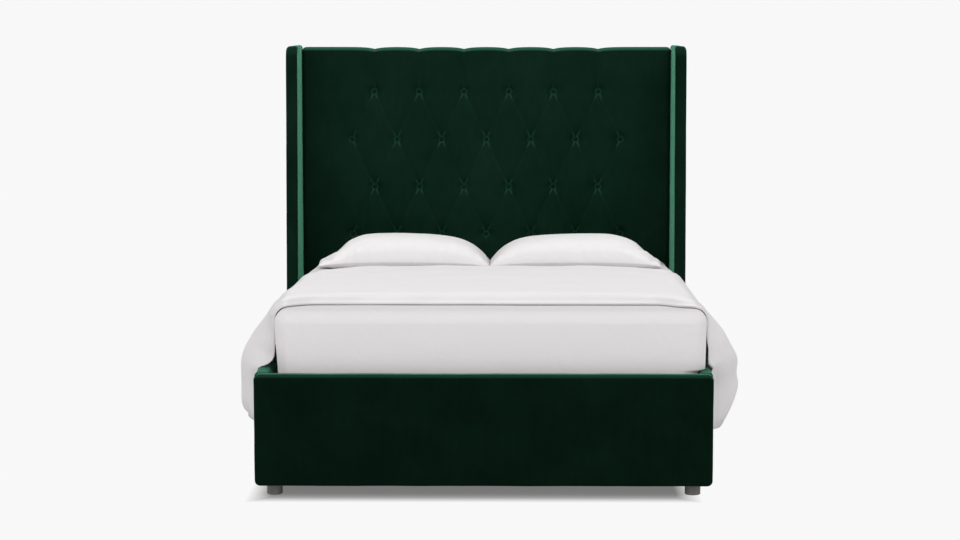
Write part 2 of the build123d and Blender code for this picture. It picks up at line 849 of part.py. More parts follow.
with BuildPart() as duvet:
    folds = zip(duvet_stations(), duvet_fold_shares_left, duvet_fold_shares_right)
    for (y, thickness), left_share, right_share in folds:
        with BuildSketch(across(y)):
            with BuildLine():
                duvet_side(sides["left"], thickness, duvet_slope + left_share * duvet_fold_depth)
                duvet_side(sides["right"], thickness, duvet_slope + right_share * duvet_fold_depth)
            make_face()
    loft()
save(duvet, "duvet")

# Pillows: plump in the middle, thin at the side seams, with corners that stand out a little

pillow_rest_z = mattress_top_z + seat_gap
pillow_seam_z = pillow_rest_z + pillow_seam_height


def pillow_section(x, depth, height_share):
    """Section along the bed, with the seam at both ends and a crown over and under it."""
    rise = height_share * (pillow_thickness - pillow_seam_height)
    sink = height_share * (pillow_seam_height + pillow_flat)
    with BuildSketch(Plane.YZ.offset(x)) as section:
        with BuildLine():
            for height in (rise, -sink):
                shoulder = pillow_shoulder_share * depth
                shoulder_z = pillow_seam_z + pillow_shoulder_height_share * height
                crown = ThreePointArc(
                    (pillow_middle_y - shoulder, shoulder_z),
                    (pillow_middle_y, pillow_seam_z + height),
                    (pillow_middle_y + shoulder, shoulder_z),
                )
                front_seam = (pillow_middle_y - depth / 2, pillow_seam_z)
                back_seam = (pillow_middle_y + depth / 2, pillow_seam_z)
                TangentArc(crown @ 0, front_seam, tangent=-(crown % 0))
                TangentArc(crown @ 1, back_seam, tangent=crown % 1)
        make_face()
    return section.sketch


for side in sides:
    middle_x = pillow_shift + sides[side] * pillow_spacing / 2
    sections = []
    stations = zip(pillow_station_shares, pillow_depth_shares, pillow_height_shares)
    for station_share, depth_share, height_share in stations:
        x = middle_x + station_share * pillow_width / 2
        sections.append(pillow_section(x, depth_share * pillow_depth, height_share))
    with BuildPart() as pillow:
        loft(sections)
        split(bisect_by=Plane.XY.offset(pillow_rest_z), keep=Keep.TOP)
    save(pillow, f"pillow_{side}")
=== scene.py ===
# %% [markdown]
# # Wingback bed: the looks over the fixed frame
# A wingback bed has a tall, tufted headboard between two padded wings, a low padded base, and a mattress on slats.
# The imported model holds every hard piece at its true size, and it is never moved here. This notebook adds what plain
# solids can't show: the camera, the light, the finishes, and the soft pieces with their tufts, folds and creases.
# Lengths are in metres. X runs across the bed, Y from the foot to the head and Z up.

import math

import bmesh
import bpy
import numpy as np
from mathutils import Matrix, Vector, noise


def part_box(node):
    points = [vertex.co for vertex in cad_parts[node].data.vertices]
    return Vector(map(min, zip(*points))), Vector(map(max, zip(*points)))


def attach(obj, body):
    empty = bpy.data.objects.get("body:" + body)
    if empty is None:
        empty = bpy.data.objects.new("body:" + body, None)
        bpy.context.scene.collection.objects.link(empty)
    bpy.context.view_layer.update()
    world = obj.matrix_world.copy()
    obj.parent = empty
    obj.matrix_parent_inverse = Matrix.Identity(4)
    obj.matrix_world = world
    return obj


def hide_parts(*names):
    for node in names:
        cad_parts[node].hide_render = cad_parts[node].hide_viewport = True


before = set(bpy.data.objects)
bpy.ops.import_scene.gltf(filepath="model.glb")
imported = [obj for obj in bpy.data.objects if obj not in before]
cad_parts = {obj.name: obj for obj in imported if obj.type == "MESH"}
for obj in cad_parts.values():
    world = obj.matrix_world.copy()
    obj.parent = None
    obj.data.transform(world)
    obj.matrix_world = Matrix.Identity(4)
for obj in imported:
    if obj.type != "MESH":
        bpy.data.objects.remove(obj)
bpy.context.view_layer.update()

# %% [markdown]
# ## Camera
# The real bed was seen from far away through a long lens, a little to the right of its middle and from just above
# the headboard. A camera can be placed by eye, but then the bed never quite fits. Here its place, pitch, turn and
# lens were fitted to the straight edges of the frame, so that all of them fall where they should.

# %% Camera
camera_place = (0.0448, -8.848, 1.6567)
camera_pitch = math.radians(6.238)
camera_turn = math.radians(0.422)
camera_lens = 83.53

camera_data = bpy.data.cameras.new("camera")
camera_data.lens = camera_lens
camera_data.sensor_width = 36
camera_data.clip_end = 500
camera = bpy.data.objects.new("camera", camera_data)
camera.location = camera_place
camera.rotation_euler = (math.radians(90) - camera_pitch, 0, camera_turn)
bpy.context.scene.collection.objects.link(camera)
bpy.context.scene.camera = camera
print("camera:", camera_lens, "mm lens")


# %% [markdown]
# ## Materials are trees of nodes
# Every finish of the bed is a small tree of nodes that ends in one Principled shader. Each node could be added and
# linked on its own lines, but they would repeat a hundred times. These helpers add a node, link two sockets, set
# constants or do a sum, so that a finish reads as a few plain lines.


# %% Add, link and set nodes
def node(material, kind, **settings):
    """Add a node to a material or a node group and set its fields."""
    tree = material.node_tree if hasattr(material, "node_tree") else material
    made = tree.nodes.new(kind)
    for name, value in settings.items():
        setattr(made, name, value)
    return made


def join(tree_owner, source, target):
    """Link one socket to another."""
    tree = tree_owner.node_tree if hasattr(tree_owner, "node_tree") else tree_owner
    tree.links.new(source, target)


def blank_material(name):
    """A material that holds only its output and one Principled shader."""
    material = bpy.data.materials.new(name)
    material.use_nodes = True
    material.node_tree.nodes.clear()
    output = node(material, "ShaderNodeOutputMaterial")
    shader = node(material, "ShaderNodeBsdfPrincipled")
    join(material, shader.outputs["BSDF"], output.inputs["Surface"])
    return material, shader


def set_sockets(shader, **values):
    """Set constant values on a node's own sockets: an underscore stands for a space."""
    for name, value in values.items():
        shader.inputs[name.replace("_", " ")].default_value = value


print("a finish starts from one Principled shader")


# %% Sums and colours
def calc(owner, operation, first, second=None):
    """A sum between two sockets or numbers. The result is a socket."""
    made = node(owner, "ShaderNodeMath", operation=operation)
    for slot_number, value in enumerate((first, second)):
        if value is None:
            continue
        if isinstance(value, (int, float)):
            made.inputs[slot_number].default_value = value
        else:
            join(owner, value, made.inputs[slot_number])
    return made.outputs[0]


def colour_between(material, mask, dark, light):
    """A colour that goes from dark to light with a mask."""
    mix = node(material, "ShaderNodeMix", data_type="RGBA")
    mix.inputs["A"].default_value = (*dark, 1)
    mix.inputs["B"].default_value = (*light, 1)
    join(material, mask, mix.inputs["Factor"])
    return mix.outputs["Result"]


def spread(owner, value, low, high):
    """A value between 0 and 1, spread from low to high."""
    made = node(owner, "ShaderNodeMapRange")
    made.inputs["To Min"].default_value = low
    made.inputs["To Max"].default_value = high
    join(owner, value, made.inputs["Value"])
    return made.outputs["Result"]


def object_place(material):
    """Where a point lies on the object, in metres."""
    return node(material, "ShaderNodeTexCoord").outputs["Object"]


print("patterns are placed by Object coordinates, in metres")

# %% [markdown]
# ## Floor
# The bed stands on a plain, pale floor. A curved backdrop could be built behind it, but a very large flat sheet
# looks the same from every side. Its material is filled in by the next step.

# %% Floor
floor_half = 400.0

bm = bmesh.new()
bmesh.ops.create_grid(bm, x_segments=1, y_segments=1, size=floor_half)
floor_mesh = bpy.data.meshes.new("floor")
bm.to_mesh(floor_mesh)
bm.free()
floor = bpy.data.objects.new("floor", floor_mesh)
bpy.context.scene.collection.objects.link(floor)
floor_material, floor_shader = blank_material("floor paint")
set_sockets(floor_shader, Roughness=1.0, Specular_IOR_Level=0.0)
floor_mesh.materials.append(floor_material)
print("floor:", 2 * floor_half, "m wide")


# %% [markdown]
# ## The pale ground
# The ground of a studio picture is an even, pale grey right up to the bed, with a dark, narrow shadow under it.
# More light on the floor would do it, but it would also light the bed from below. So the floor shines by itself,
# for the camera only, from a hand's width away from the bed. Closer than that it shows its real shadow, deepened
# by a painted shadow: there the camera sees a darker floor colour than the one that light bounces off.


# %% Ground around the bed
def seen_by_camera(owner):
    """1 for rays from the camera, and for those that a mirror or glass sends on."""
    rays = node(owner, "ShaderNodeLightPath")
    seen = calc(owner, "MAXIMUM", rays.outputs["Is Camera Ray"], rays.outputs["Is Glossy Ray"])
    return calc(owner, "MAXIMUM", seen, rays.outputs["Is Transmission Ray"])


pale = 0.939
floor_colour = (0.78, 0.78, 0.78)
# Painted shadow: a darker floor colour that only the camera sees, close to the bed, where the real shadow falls.
painted_shadow_colour = (0.26, 0.26, 0.26)
shadow_shift = 0.035
shadow_half_width = 0.72
shadow_half_length = 1.10
shadow_width = 0.085
glow_start = 0.19
ground = node(floor_material, "ShaderNodeSeparateXYZ")
join(floor_material, object_place(floor_material), ground.inputs["Vector"])
across = calc(floor_material, "ABSOLUTE", calc(floor_material, "ADD", ground.outputs["X"], shadow_shift))
beside = calc(floor_material, "SUBTRACT", across, shadow_half_width)
along = calc(floor_material, "ABSOLUTE", ground.outputs["Y"])
before = calc(floor_material, "SUBTRACT", along, shadow_half_length)
distance = calc(floor_material, "MAXIMUM", beside, before)
clear = spread(floor_material, calc(floor_material, "MULTIPLY", distance, 1 / shadow_width), glow_start, 1.0)
# Painted shadow: camera rays see the darker floor colour, all other rays the pale one.
seen_colour = colour_between(floor_material, seen_by_camera(floor_material), floor_colour, painted_shadow_colour)
join(floor_material, seen_colour, floor_shader.inputs["Base Color"])
glow = node(floor_material, "ShaderNodeEmission")
set_sockets(glow, Color=(pale, pale, pale, 1), Strength=1.0)
floor_mix = node(floor_material, "ShaderNodeMixShader")
floor_output = next(item for item in floor_material.node_tree.nodes if item.type == "OUTPUT_MATERIAL")
join(floor_material, calc(floor_material, "MULTIPLY", clear, seen_by_camera(floor_material)), floor_mix.inputs[0])
join(floor_material, floor_shader.outputs["BSDF"], floor_mix.inputs[1])
join(floor_material, glow.outputs["Emission"], floor_mix.inputs[2])
join(floor_material, floor_mix.outputs["Shader"], floor_output.inputs["Surface"])
print("the shadow fades out over", shadow_width, "m")

# %% [markdown]
# ## Sky and suns
# A bed in a studio is lit by large, soft lamps. They could be built as area lights, but those would stand in the
# way of other views. Two suns with a very soft edge and an even sky light the bed alike from every side, at a plain
# level at which each colour looks as it is written.

# %% Sky and suns
sky_strength = 0.65
sun_strength = 0.72
sun_softness = math.radians(60)
sun_pitch = math.radians(32)

world = bpy.data.worlds.new("sky")
bpy.context.scene.world = world
world.use_nodes = True
world.node_tree.nodes.clear()
sky_output = node(world, "ShaderNodeOutputWorld")
sky_mix = node(world, "ShaderNodeMixShader")
sky_light = node(world, "ShaderNodeBackground")
set_sockets(sky_light, Color=(1, 1, 1, 1), Strength=sky_strength)
sky_seen = node(world, "ShaderNodeBackground")
set_sockets(sky_seen, Color=(pale, pale, pale, 1), Strength=1.0)
join(world, seen_by_camera(world), sky_mix.inputs[0])
join(world, sky_light.outputs["Background"], sky_mix.inputs[1])
join(world, sky_seen.outputs["Background"], sky_mix.inputs[2])
join(world, sky_mix.outputs["Shader"], sky_output.inputs["Surface"])

for name, turn, share in (("sun left", -0.45, 0.96), ("sun right", 0.35, 1.03)):
    sun = bpy.data.lights.new(name, "SUN")
    sun.energy = sun_strength * share
    sun.angle = sun_softness
    lamp = bpy.data.objects.new(name, sun)
    lamp.rotation_euler = (sun_pitch, turn, 0)
    bpy.context.scene.collection.objects.link(lamp)
bpy.context.scene.view_settings.view_transform = "Standard"
print("light: sky", sky_strength, "and two suns of", sun_strength)

# %% [markdown]
# ## Shared effects
# Pile, weave, creases, grain and scuffs are fine patterns that several finishes share. They could be pictures, but
# nodes stay sharp at any distance and need no unwrapping. Each is a node group that is built once. What it gives is
# a mask or a height, and the material decides what they do.


# %% Tools for shared effects
def new_group(name, inputs, outputs):
    """A node group with named number inputs, each with its usual value, and named outputs."""
    group = bpy.data.node_groups.new(name, "ShaderNodeTree")
    group.interface.new_socket("Vector", in_out="INPUT", socket_type="NodeSocketVector")
    for label, value in inputs.items():
        socket = group.interface.new_socket(label, in_out="INPUT", socket_type="NodeSocketFloat")
        socket.default_value = value
    for label in outputs:
        group.interface.new_socket(label, in_out="OUTPUT", socket_type="NodeSocketFloat")
    entry = node(group, "NodeGroupInput")
    leave = node(group, "NodeGroupOutput")
    return group, entry, leave


def use_group(material, group, vector, **values):
    """Place a group in a material, fed by a vector, with some of its inputs set."""
    made = node(material, "ShaderNodeGroup", node_tree=group)
    join(material, vector, made.inputs["Vector"])
    set_sockets(made, **values)
    return made


def stretched(owner, vector, scale):
    """The same place with each axis scaled, so that a pattern runs long along the small ones."""
    made = node(owner, "ShaderNodeMapping")
    made.inputs["Scale"].default_value = scale
    join(owner, vector, made.inputs["Vector"])
    return made.outputs["Vector"]


def noise_value(owner, vector, scale, detail=2.0, roughness=0.5):
    """The value of a noise texture."""
    made = node(owner, "ShaderNodeTexNoise")
    set_sockets(made, Detail=detail, Roughness=roughness)
    if isinstance(scale, (int, float)):
        made.inputs["Scale"].default_value = scale
    else:
        join(owner, scale, made.inputs["Scale"])
    join(owner, vector, made.inputs["Vector"])
    return made.outputs["Fac"]


print("a group takes a place and gives masks and heights")

# %% [markdown]
# ## Velvet pile
# Velvet is a carpet of short hairs. Where they lean together it looks lighter or darker, in patches a hand wide and
# in finer brushed streaks. Real hairs would be far too many. Two noises give the patches and streaks and a third
# the tufts. Two masks pick the faces that look up or that are seen from the side, where the velvet paints its pile
# paler as painted light.

# %% Velvet pile
pile_group, entry, leave = new_group("velvet pile", {"Patch Scale": 5.0}, ["Nap", "Height", "Up", "Side"])
patches = noise_value(pile_group, entry.outputs["Vector"], entry.outputs["Patch Scale"], 3.0, 0.55)
brushed = noise_value(pile_group, stretched(pile_group, entry.outputs["Vector"], (60, 60, 14)), 1.0, 2.0)
tufts = noise_value(pile_group, entry.outputs["Vector"], 1400.0, 2.0, 0.7)
nap = calc(pile_group, "ADD", calc(pile_group, "MULTIPLY", patches, 0.7), calc(pile_group, "MULTIPLY", brushed, 0.3))
join(pile_group, spread(pile_group, nap, -0.6, 1.6), leave.inputs["Nap"])
height = calc(
    pile_group, "ADD", calc(pile_group, "MULTIPLY", tufts, 0.6), calc(pile_group, "MULTIPLY", brushed, 0.4)
)
join(pile_group, height, leave.inputs["Height"])
# Painted light: Up marks the faces that look up, and Side marks the rims seen from the side. The velvet paints its
# pile paler on both.
facing = node(pile_group, "ShaderNodeSeparateXYZ")
join(pile_group, node(pile_group, "ShaderNodeNewGeometry").outputs["Normal"], facing.inputs["Vector"])
up_from, up_gain = 0.12, 2.4
painted_up_mask = calc(pile_group, "MULTIPLY", calc(pile_group, "SUBTRACT", facing.outputs["Z"], up_from), up_gain)
join(pile_group, spread(pile_group, painted_up_mask, 0.0, 1.0), leave.inputs["Up"])
flat_on = calc(pile_group, "ABSOLUTE", facing.outputs["Y"])
side_from, side_gain = 0.85, 3.0
side = calc(pile_group, "MULTIPLY", calc(pile_group, "SUBTRACT", side_from, flat_on), side_gain)
join(pile_group, spread(pile_group, side, 0.0, 1.0), leave.inputs["Side"])
print("velvet pile:", len(pile_group.nodes), "nodes")

# %% [markdown]
# ## Woven threads
# Cotton is woven: threads cross over and under, and now and then a thicker one, a slub, runs through. Modelled
# threads would be thinner than a pixel. A wave along each axis gives the crossing, so that the weave shows on every
# side of a piece, and a stretched noise gives the slubs.

# %% Woven threads
weave_group, entry, leave = new_group("woven threads", {"Thread Scale": 1100.0}, ["Tone", "Height"])
threads = []
for axis in ("X", "Y", "Z"):
    wave = node(weave_group, "ShaderNodeTexWave", wave_type="BANDS", bands_direction=axis)
    set_sockets(wave, Distortion=0.6, Detail=1.0)
    wave.inputs["Detail Scale"].default_value = 1.5
    join(weave_group, entry.outputs["Vector"], wave.inputs["Vector"])
    join(weave_group, calc(weave_group, "MULTIPLY", entry.outputs["Thread Scale"], 0.3), wave.inputs["Scale"])
    threads.append(wave.outputs["Fac"])
crossed = calc(weave_group, "ADD", calc(weave_group, "ADD", threads[0], threads[1]), threads[2])
slubs = noise_value(weave_group, stretched(weave_group, entry.outputs["Vector"], (240, 30, 60)), 1.0, 3.0)
join(weave_group, slubs, leave.inputs["Tone"])
height = calc(
    weave_group, "ADD", calc(weave_group, "MULTIPLY", crossed, 0.25), calc(weave_group, "MULTIPLY", slubs, 0.3)
)
join(weave_group, height, leave.inputs["Height"])
print("woven threads:", len(weave_group.nodes), "nodes")

# %% [markdown]
# ## Laundry creases
# Bed linen that was folded and washed keeps faint ridges. They could be sculpted, but the cloth would need many
# more points. Where a noise passes its middle value it draws a thin line that wanders, and this line makes a good
# crease.

# %% Laundry creases
crease_group, entry, leave = new_group("laundry creases", {"Crease Scale": 9.0}, ["Height"])
bend = noise_value(crease_group, entry.outputs["Vector"], 4.0, 1.0)
bent = node(crease_group, "ShaderNodeVectorMath", operation="ADD")
join(crease_group, entry.outputs["Vector"], bent.inputs[0])
join(crease_group, calc(crease_group, "MULTIPLY", bend, 0.25), bent.inputs[1])
raw = noise_value(crease_group, bent.outputs[0], entry.outputs["Crease Scale"], 2.0)
ridge = calc(crease_group, "ABSOLUTE", calc(crease_group, "SUBTRACT", raw, 0.5))
fine = noise_value(crease_group, bent.outputs[0], 34.0, 2.0)
height = calc(
    crease_group, "ADD", calc(crease_group, "MULTIPLY", ridge, 1.6), calc(crease_group, "MULTIPLY", fine, 0.22)
)
join(crease_group, height, leave.inputs["Height"])
print("laundry creases:", len(crease_group.nodes), "nodes")

# %% [markdown]
# ## Wood grain
# A sawn board shows long streaks, because the saw cuts the tree's rings lengthwise, with small pores along them. A
# picture of wood would have to be turned and cut for each piece. Rings that a noise bends, stretched along the
# board, give every piece its own grain.

# %% Wood grain
grain_group, entry, leave = new_group("wood grain", {"Ring Scale": 1.0}, ["Tone", "Pores"])
wander = node(grain_group, "ShaderNodeTexNoise")
set_sockets(wander, Scale=0.9, Detail=2.0)
join(grain_group, entry.outputs["Vector"], wander.inputs["Vector"])
wandered = node(grain_group, "ShaderNodeVectorMath", operation="MULTIPLY_ADD")
wandered.inputs[1].default_value = (0.5, 0.5, 0.5)
join(grain_group, wander.outputs["Color"], wandered.inputs[0])
join(grain_group, entry.outputs["Vector"], wandered.inputs[2])
rings = node(grain_group, "ShaderNodeTexWave", wave_type="RINGS", rings_direction="SPHERICAL")
set_sockets(rings, Distortion=4.0, Detail=3.0)
join(grain_group, wandered.outputs[0], rings.inputs["Vector"])
join(grain_group, entry.outputs["Ring Scale"], rings.inputs["Scale"])
pores = noise_value(grain_group, wandered.outputs[0], 9.0, 4.0, 0.65)
ring_tone = calc(grain_group, "MULTIPLY", rings.outputs["Fac"], 0.6)
tone = calc(grain_group, "ADD", ring_tone, calc(grain_group, "MULTIPLY", pores, 0.4))
join(grain_group, tone, leave.inputs["Tone"])
join(grain_group, pores, leave.inputs["Pores"])
print("wood grain:", len(grain_group.nodes), "nodes")

# %% [markdown]
# ## Metal scuffs
# Brackets and screws have small rubs where tools and hands touched them. They could be painted one by one, but
# these are hidden pieces, so a rough noise for the rubs and a fine one for the surface are enough.

# %% Metal scuffs
scuff_group, entry, leave = new_group("metal scuffs", {"Scuff Scale": 40.0}, ["Wear", "Height"])
marks = noise_value(scuff_group, entry.outputs["Vector"], entry.outputs["Scuff Scale"], 5.0, 0.65)
grainy = noise_value(scuff_group, entry.outputs["Vector"], 900.0, 2.0)
join(scuff_group, spread(scuff_group, marks, -1.0, 2.0), leave.inputs["Wear"])
join(scuff_group, grainy, leave.inputs["Height"])
print("shared effects:", ", ".join(group.name for group in bpy.data.node_groups))

# %% [markdown]
# ## Velvet
# The bed's velvet is nearly black-green seen straight on and lights up along its edges, where the pile is seen from
# the side. A plain green under less light would leave those rims dark. So a very dark base gets sheen on top, and
# painted light: a paler pile on the faces that look up, on the rims and in the creases of the tufting.


# %% Velvet
def paler(material, colour, mask, light):
    """A colour that turns to a paler one where a mask is 1."""
    mix = node(material, "ShaderNodeMix", data_type="RGBA")
    mix.inputs["B"].default_value = (*light, 1)
    join(material, colour, mix.inputs["A"])
    join(material, mask, mix.inputs["Factor"])
    return mix.outputs["Result"]


def bump(material, shader, height, depth):
    """Give a shader a relief of a real depth, in metres."""
    made = node(material, "ShaderNodeBump")
    set_sockets(made, Strength=1.0, Distance=depth)
    join(material, height, made.inputs["Height"])
    join(material, made.outputs["Normal"], shader.inputs["Normal"])


def make_velvet(name, dark, light, tint, sheen, top_light_share=1.0, rim_highlight_share=0.0):
    """Short dense pile with a brushed nap. Painted light makes it paler where it faces up, on rims and in the
    tufting's creases.
    """
    material, shader = blank_material(name)
    pile = use_group(material, pile_group, object_place(material), Patch_Scale=4.5)
    colour = colour_between(material, pile.outputs["Nap"], dark, light)
    # Painted light: a paler pile where faces look up, on rims seen from the side, and on the tufting's creases and
    # button rings.
    colour = paler(material, colour, calc(material, "MULTIPLY", pile.outputs["Up"], top_light_share), painted_top_light_pile)
    rim_highlight = calc(material, "MULTIPLY", pile.outputs["Side"], rim_highlight_share)
    colour = paler(material, colour, rim_highlight, painted_highlight_pile)
    painted_highlight = node(material, "ShaderNodeAttribute", attribute_name="painted_highlight")
    colour = paler(material, colour, painted_highlight.outputs["Fac"], painted_highlight_pile)
    join(material, colour, shader.inputs["Base Color"])
    join(material, spread(material, pile.outputs["Nap"], 0.95, 0.78), shader.inputs["Roughness"])
    bump(material, shader, pile.outputs["Height"], 0.0006)
    set_sockets(
        shader, Specular_IOR_Level=0.04, Sheen_Weight=sheen, Sheen_Roughness=0.24, Sheen_Tint=(*tint, 1)
    )
    return material


# Painted light: the pile's colour on faces that look up, and a painted highlight on rims, creases and button rings.
painted_top_light_pile = (0.014, 0.066, 0.045)
painted_highlight_pile = (0.024, 0.098, 0.062)
pile_tint = (0.26, 0.86, 0.55)
# Painted light and shade: these are copies of one velvet. The pad's and the buttons' base is painted lighter against
# the shade of the tufting, and the footboard's is painted darker against the light it gets from the floor. The wings'
# base is a little lighter than the plain one.
velvet = make_velvet("emerald velvet", (0.0012, 0.009, 0.005), (0.003, 0.015, 0.0085), pile_tint, 1.0)
pad_lightened_velvet = make_velvet("tufted velvet", (0.0022, 0.014, 0.0078), (0.0044, 0.022, 0.0125), pile_tint, 1.0, 0.0)
wing_velvet = make_velvet("wing velvet", (0.0014, 0.0102, 0.0056), (0.0034, 0.0165, 0.0092), pile_tint, 1.0, 0.15)
footboard_shaded_velvet = make_velvet("base velvet", (0.0005, 0.006, 0.003), (0.0013, 0.0105, 0.005), pile_tint, 0.5, 0.4)
button_lightened_velvet = make_velvet(
    "button velvet", (0.0022, 0.014, 0.0078), (0.0044, 0.022, 0.0125), pile_tint, 1.0, 0.0, 1.0
)
velvets = (velvet, pad_lightened_velvet, wing_velvet, footboard_shaded_velvet, button_lightened_velvet)
print("velvets:", ", ".join(item.name for item in velvets))

# %% [markdown]
# ## Cotton, ticking and the cloth of the back
# Sheet, duvet and pillows are white cotton, the mattress wears a coarser ticking and the back of the headboard a
# plain dark cloth. One white could serve for all the linen, but its edges would melt together. Each piece gets its
# own tone, and where it faces up a painted tone for the light from above: lighter on the duvet and pillows, darker
# on the sheet. Both lie over the same weave and creases.


# %% Cotton, ticking and the cloth of the back
def make_cloth(name, dark, light, thread_scale, crease_depth, thread_depth, sheen=0.15, painted_top_tone=None, top_from=0.8):
    """Woven cloth with threads, slubs and soft creases. Where it faces up it may get a painted tone for the light from
    above.
    """
    material, shader = blank_material(name)
    place = object_place(material)
    weave = use_group(material, weave_group, place, Thread_Scale=thread_scale)
    creases = use_group(material, crease_group, place)
    colour = colour_between(material, weave.outputs["Tone"], dark, light)
    # Painted light and shade: faces that look up get the top tone.
    if painted_top_tone:
        facing = node(material, "ShaderNodeSeparateXYZ")
        join(material, node(material, "ShaderNodeNewGeometry").outputs["Normal"], facing.inputs["Vector"])
        painted_up_mask = calc(material, "DIVIDE", calc(material, "SUBTRACT", facing.outputs["Z"], top_from), 0.97 - top_from)
        colour = paler(material, colour, spread(material, painted_up_mask, 0.0, 1.0), painted_top_tone)
    join(material, colour, shader.inputs["Base Color"])
    join(material, spread(material, weave.outputs["Tone"], 0.9, 0.8), shader.inputs["Roughness"])
    woven = calc(material, "MULTIPLY", weave.outputs["Height"], thread_depth)
    folded = calc(material, "MULTIPLY", creases.outputs["Height"], crease_depth)
    bump(material, shader, calc(material, "ADD", woven, folded), 1.0)
    set_sockets(shader, Specular_IOR_Level=0.15, Sheen_Weight=sheen, Sheen_Roughness=0.5)
    return material


# Painted light and shade: the last colour of each cloth is its tone where it faces up. It is darker than the sides on
# the sheet and lighter on the duvet and pillows.
sheet_cotton = make_cloth(
    "sheet cotton", (0.755, 0.732, 0.74), (0.80, 0.777, 0.785), 1100, 0.0016, 0.0002, 0.15, (0.69, 0.67, 0.678), 0.1
)
duvet_cotton = make_cloth(
    "duvet cotton", (0.69, 0.67, 0.678), (0.725, 0.705, 0.713), 1000, 0.0022, 0.0002, 0.2, (0.85, 0.83, 0.838), 0.86
)
pillow_cotton = make_cloth(
    "pillow cotton", (0.755, 0.735, 0.742), (0.79, 0.77, 0.777), 1000, 0.0022, 0.0002, 0.2, (0.92, 0.90, 0.907), 0.75
)
ticking = make_cloth("mattress ticking", (0.66, 0.65, 0.63), (0.78, 0.77, 0.74), 600, 0.004, 0.0004)
back_cloth = make_cloth("back cloth", (0.012, 0.04, 0.027), (0.02, 0.06, 0.04), 700, 0.003, 0.0004, 0.3)
cloths = (sheet_cotton, duvet_cotton, pillow_cotton, ticking, back_cloth)
print("cloths:", ", ".join(item.name for item in cloths))

# %% [markdown]
# ## Pine, birch and plywood
# The hidden frame is sawn pine, the slats are birch, and the board and the cores of the wings are plywood, whose
# layers show at its edges. Each could have its own nodes. They differ only in colour and in the axis along which
# the grain runs, so one function makes the plain woods and a second one adds the layers.


# %% Sawn wood
def make_wood(name, dark, light, scale, ring_scale=1.0):
    """Sawn wood whose grain runs along the axis with the small scale."""
    material, shader = blank_material(name)
    grain = use_group(material, grain_group, stretched(material, object_place(material), scale), Ring_Scale=ring_scale)
    join(material, colour_between(material, grain.outputs["Tone"], dark, light), shader.inputs["Base Color"])
    join(material, spread(material, grain.outputs["Pores"], 0.5, 0.8), shader.inputs["Roughness"])
    bump(material, shader, grain.outputs["Pores"], 0.0006)
    set_sockets(shader, Specular_IOR_Level=0.3)
    return material


pine_dark, pine_light = (0.36, 0.22, 0.105), (0.56, 0.39, 0.21)
timber_across = make_wood("pine along X", pine_dark, pine_light, (2.2, 26, 26))
timber_along = make_wood("pine along Y", pine_dark, pine_light, (26, 2.2, 26))
timber_up = make_wood("pine along Z", pine_dark, pine_light, (26, 26, 2.2))
slat_wood = make_wood("birch slats", (0.5, 0.35, 0.19), (0.66, 0.5, 0.3), (2.6, 34, 34))
woods = (timber_across, timber_along, timber_up, slat_wood)
print("woods:", ", ".join(item.name for item in woods))


# %% Plywood
def make_plywood(name, ply_axis, face_scale):
    """Plywood: a long face grain, and thin darker and lighter plies that show on its edges."""
    material, shader = blank_material(name)
    place = object_place(material)
    grain = use_group(material, grain_group, stretched(material, place, face_scale))
    plies = node(material, "ShaderNodeTexWave", wave_type="BANDS", bands_direction=ply_axis)
    set_sockets(plies, Scale=95.0, Distortion=0.3)
    join(material, place, plies.inputs["Vector"])
    ply_tone = calc(material, "MULTIPLY", plies.outputs["Fac"], 0.35)
    tone = calc(material, "ADD", calc(material, "MULTIPLY", grain.outputs["Tone"], 0.65), ply_tone)
    join(material, colour_between(material, tone, (0.33, 0.21, 0.11), (0.6, 0.44, 0.27)), shader.inputs["Base Color"])
    join(material, spread(material, grain.outputs["Pores"], 0.55, 0.8), shader.inputs["Roughness"])
    bump(material, shader, grain.outputs["Pores"], 0.0005)
    return material


plywood_board = make_plywood("plywood board", "Y", (3, 30, 20))
plywood_wing = make_plywood("plywood wing", "X", (30, 20, 3))
print("plywood:", plywood_board.name, "and", plywood_wing.name)

# %% [markdown]
# ## Steel and plastic
# Brackets and hangers are steel with a black coat, screws and nuts are zinc plated, and each foot is moulded
# plastic on a steel stud. A foot could be cut in two, but it is one piece of the frame, so its material changes
# from plastic to steel at a height.


# %% Steel
def make_steel(name, dark, light, roughness, depth, scuffs=40.0, metallic=1.0):
    """Bare or coated steel with scuffs and a fine grain."""
    material, shader = blank_material(name)
    scuff = use_group(material, scuff_group, object_place(material), Scuff_Scale=scuffs)
    join(material, colour_between(material, scuff.outputs["Wear"], dark, light), shader.inputs["Base Color"])
    worn = spread(material, scuff.outputs["Wear"], roughness + 0.12, roughness - 0.08)
    join(material, worn, shader.inputs["Roughness"])
    bump(material, shader, scuff.outputs["Height"], depth)
    set_sockets(shader, Metallic=metallic)
    return material


bracket_steel = make_steel("black coated steel", (0.012, 0.012, 0.013), (0.04, 0.04, 0.042), 0.55, 0.0003, 30.0, 0.0)
fastener_steel = make_steel("zinc plated steel", (0.42, 0.43, 0.45), (0.66, 0.66, 0.67), 0.34, 0.0001, 120.0)
print("steels:", bracket_steel.name, "and", fastener_steel.name)


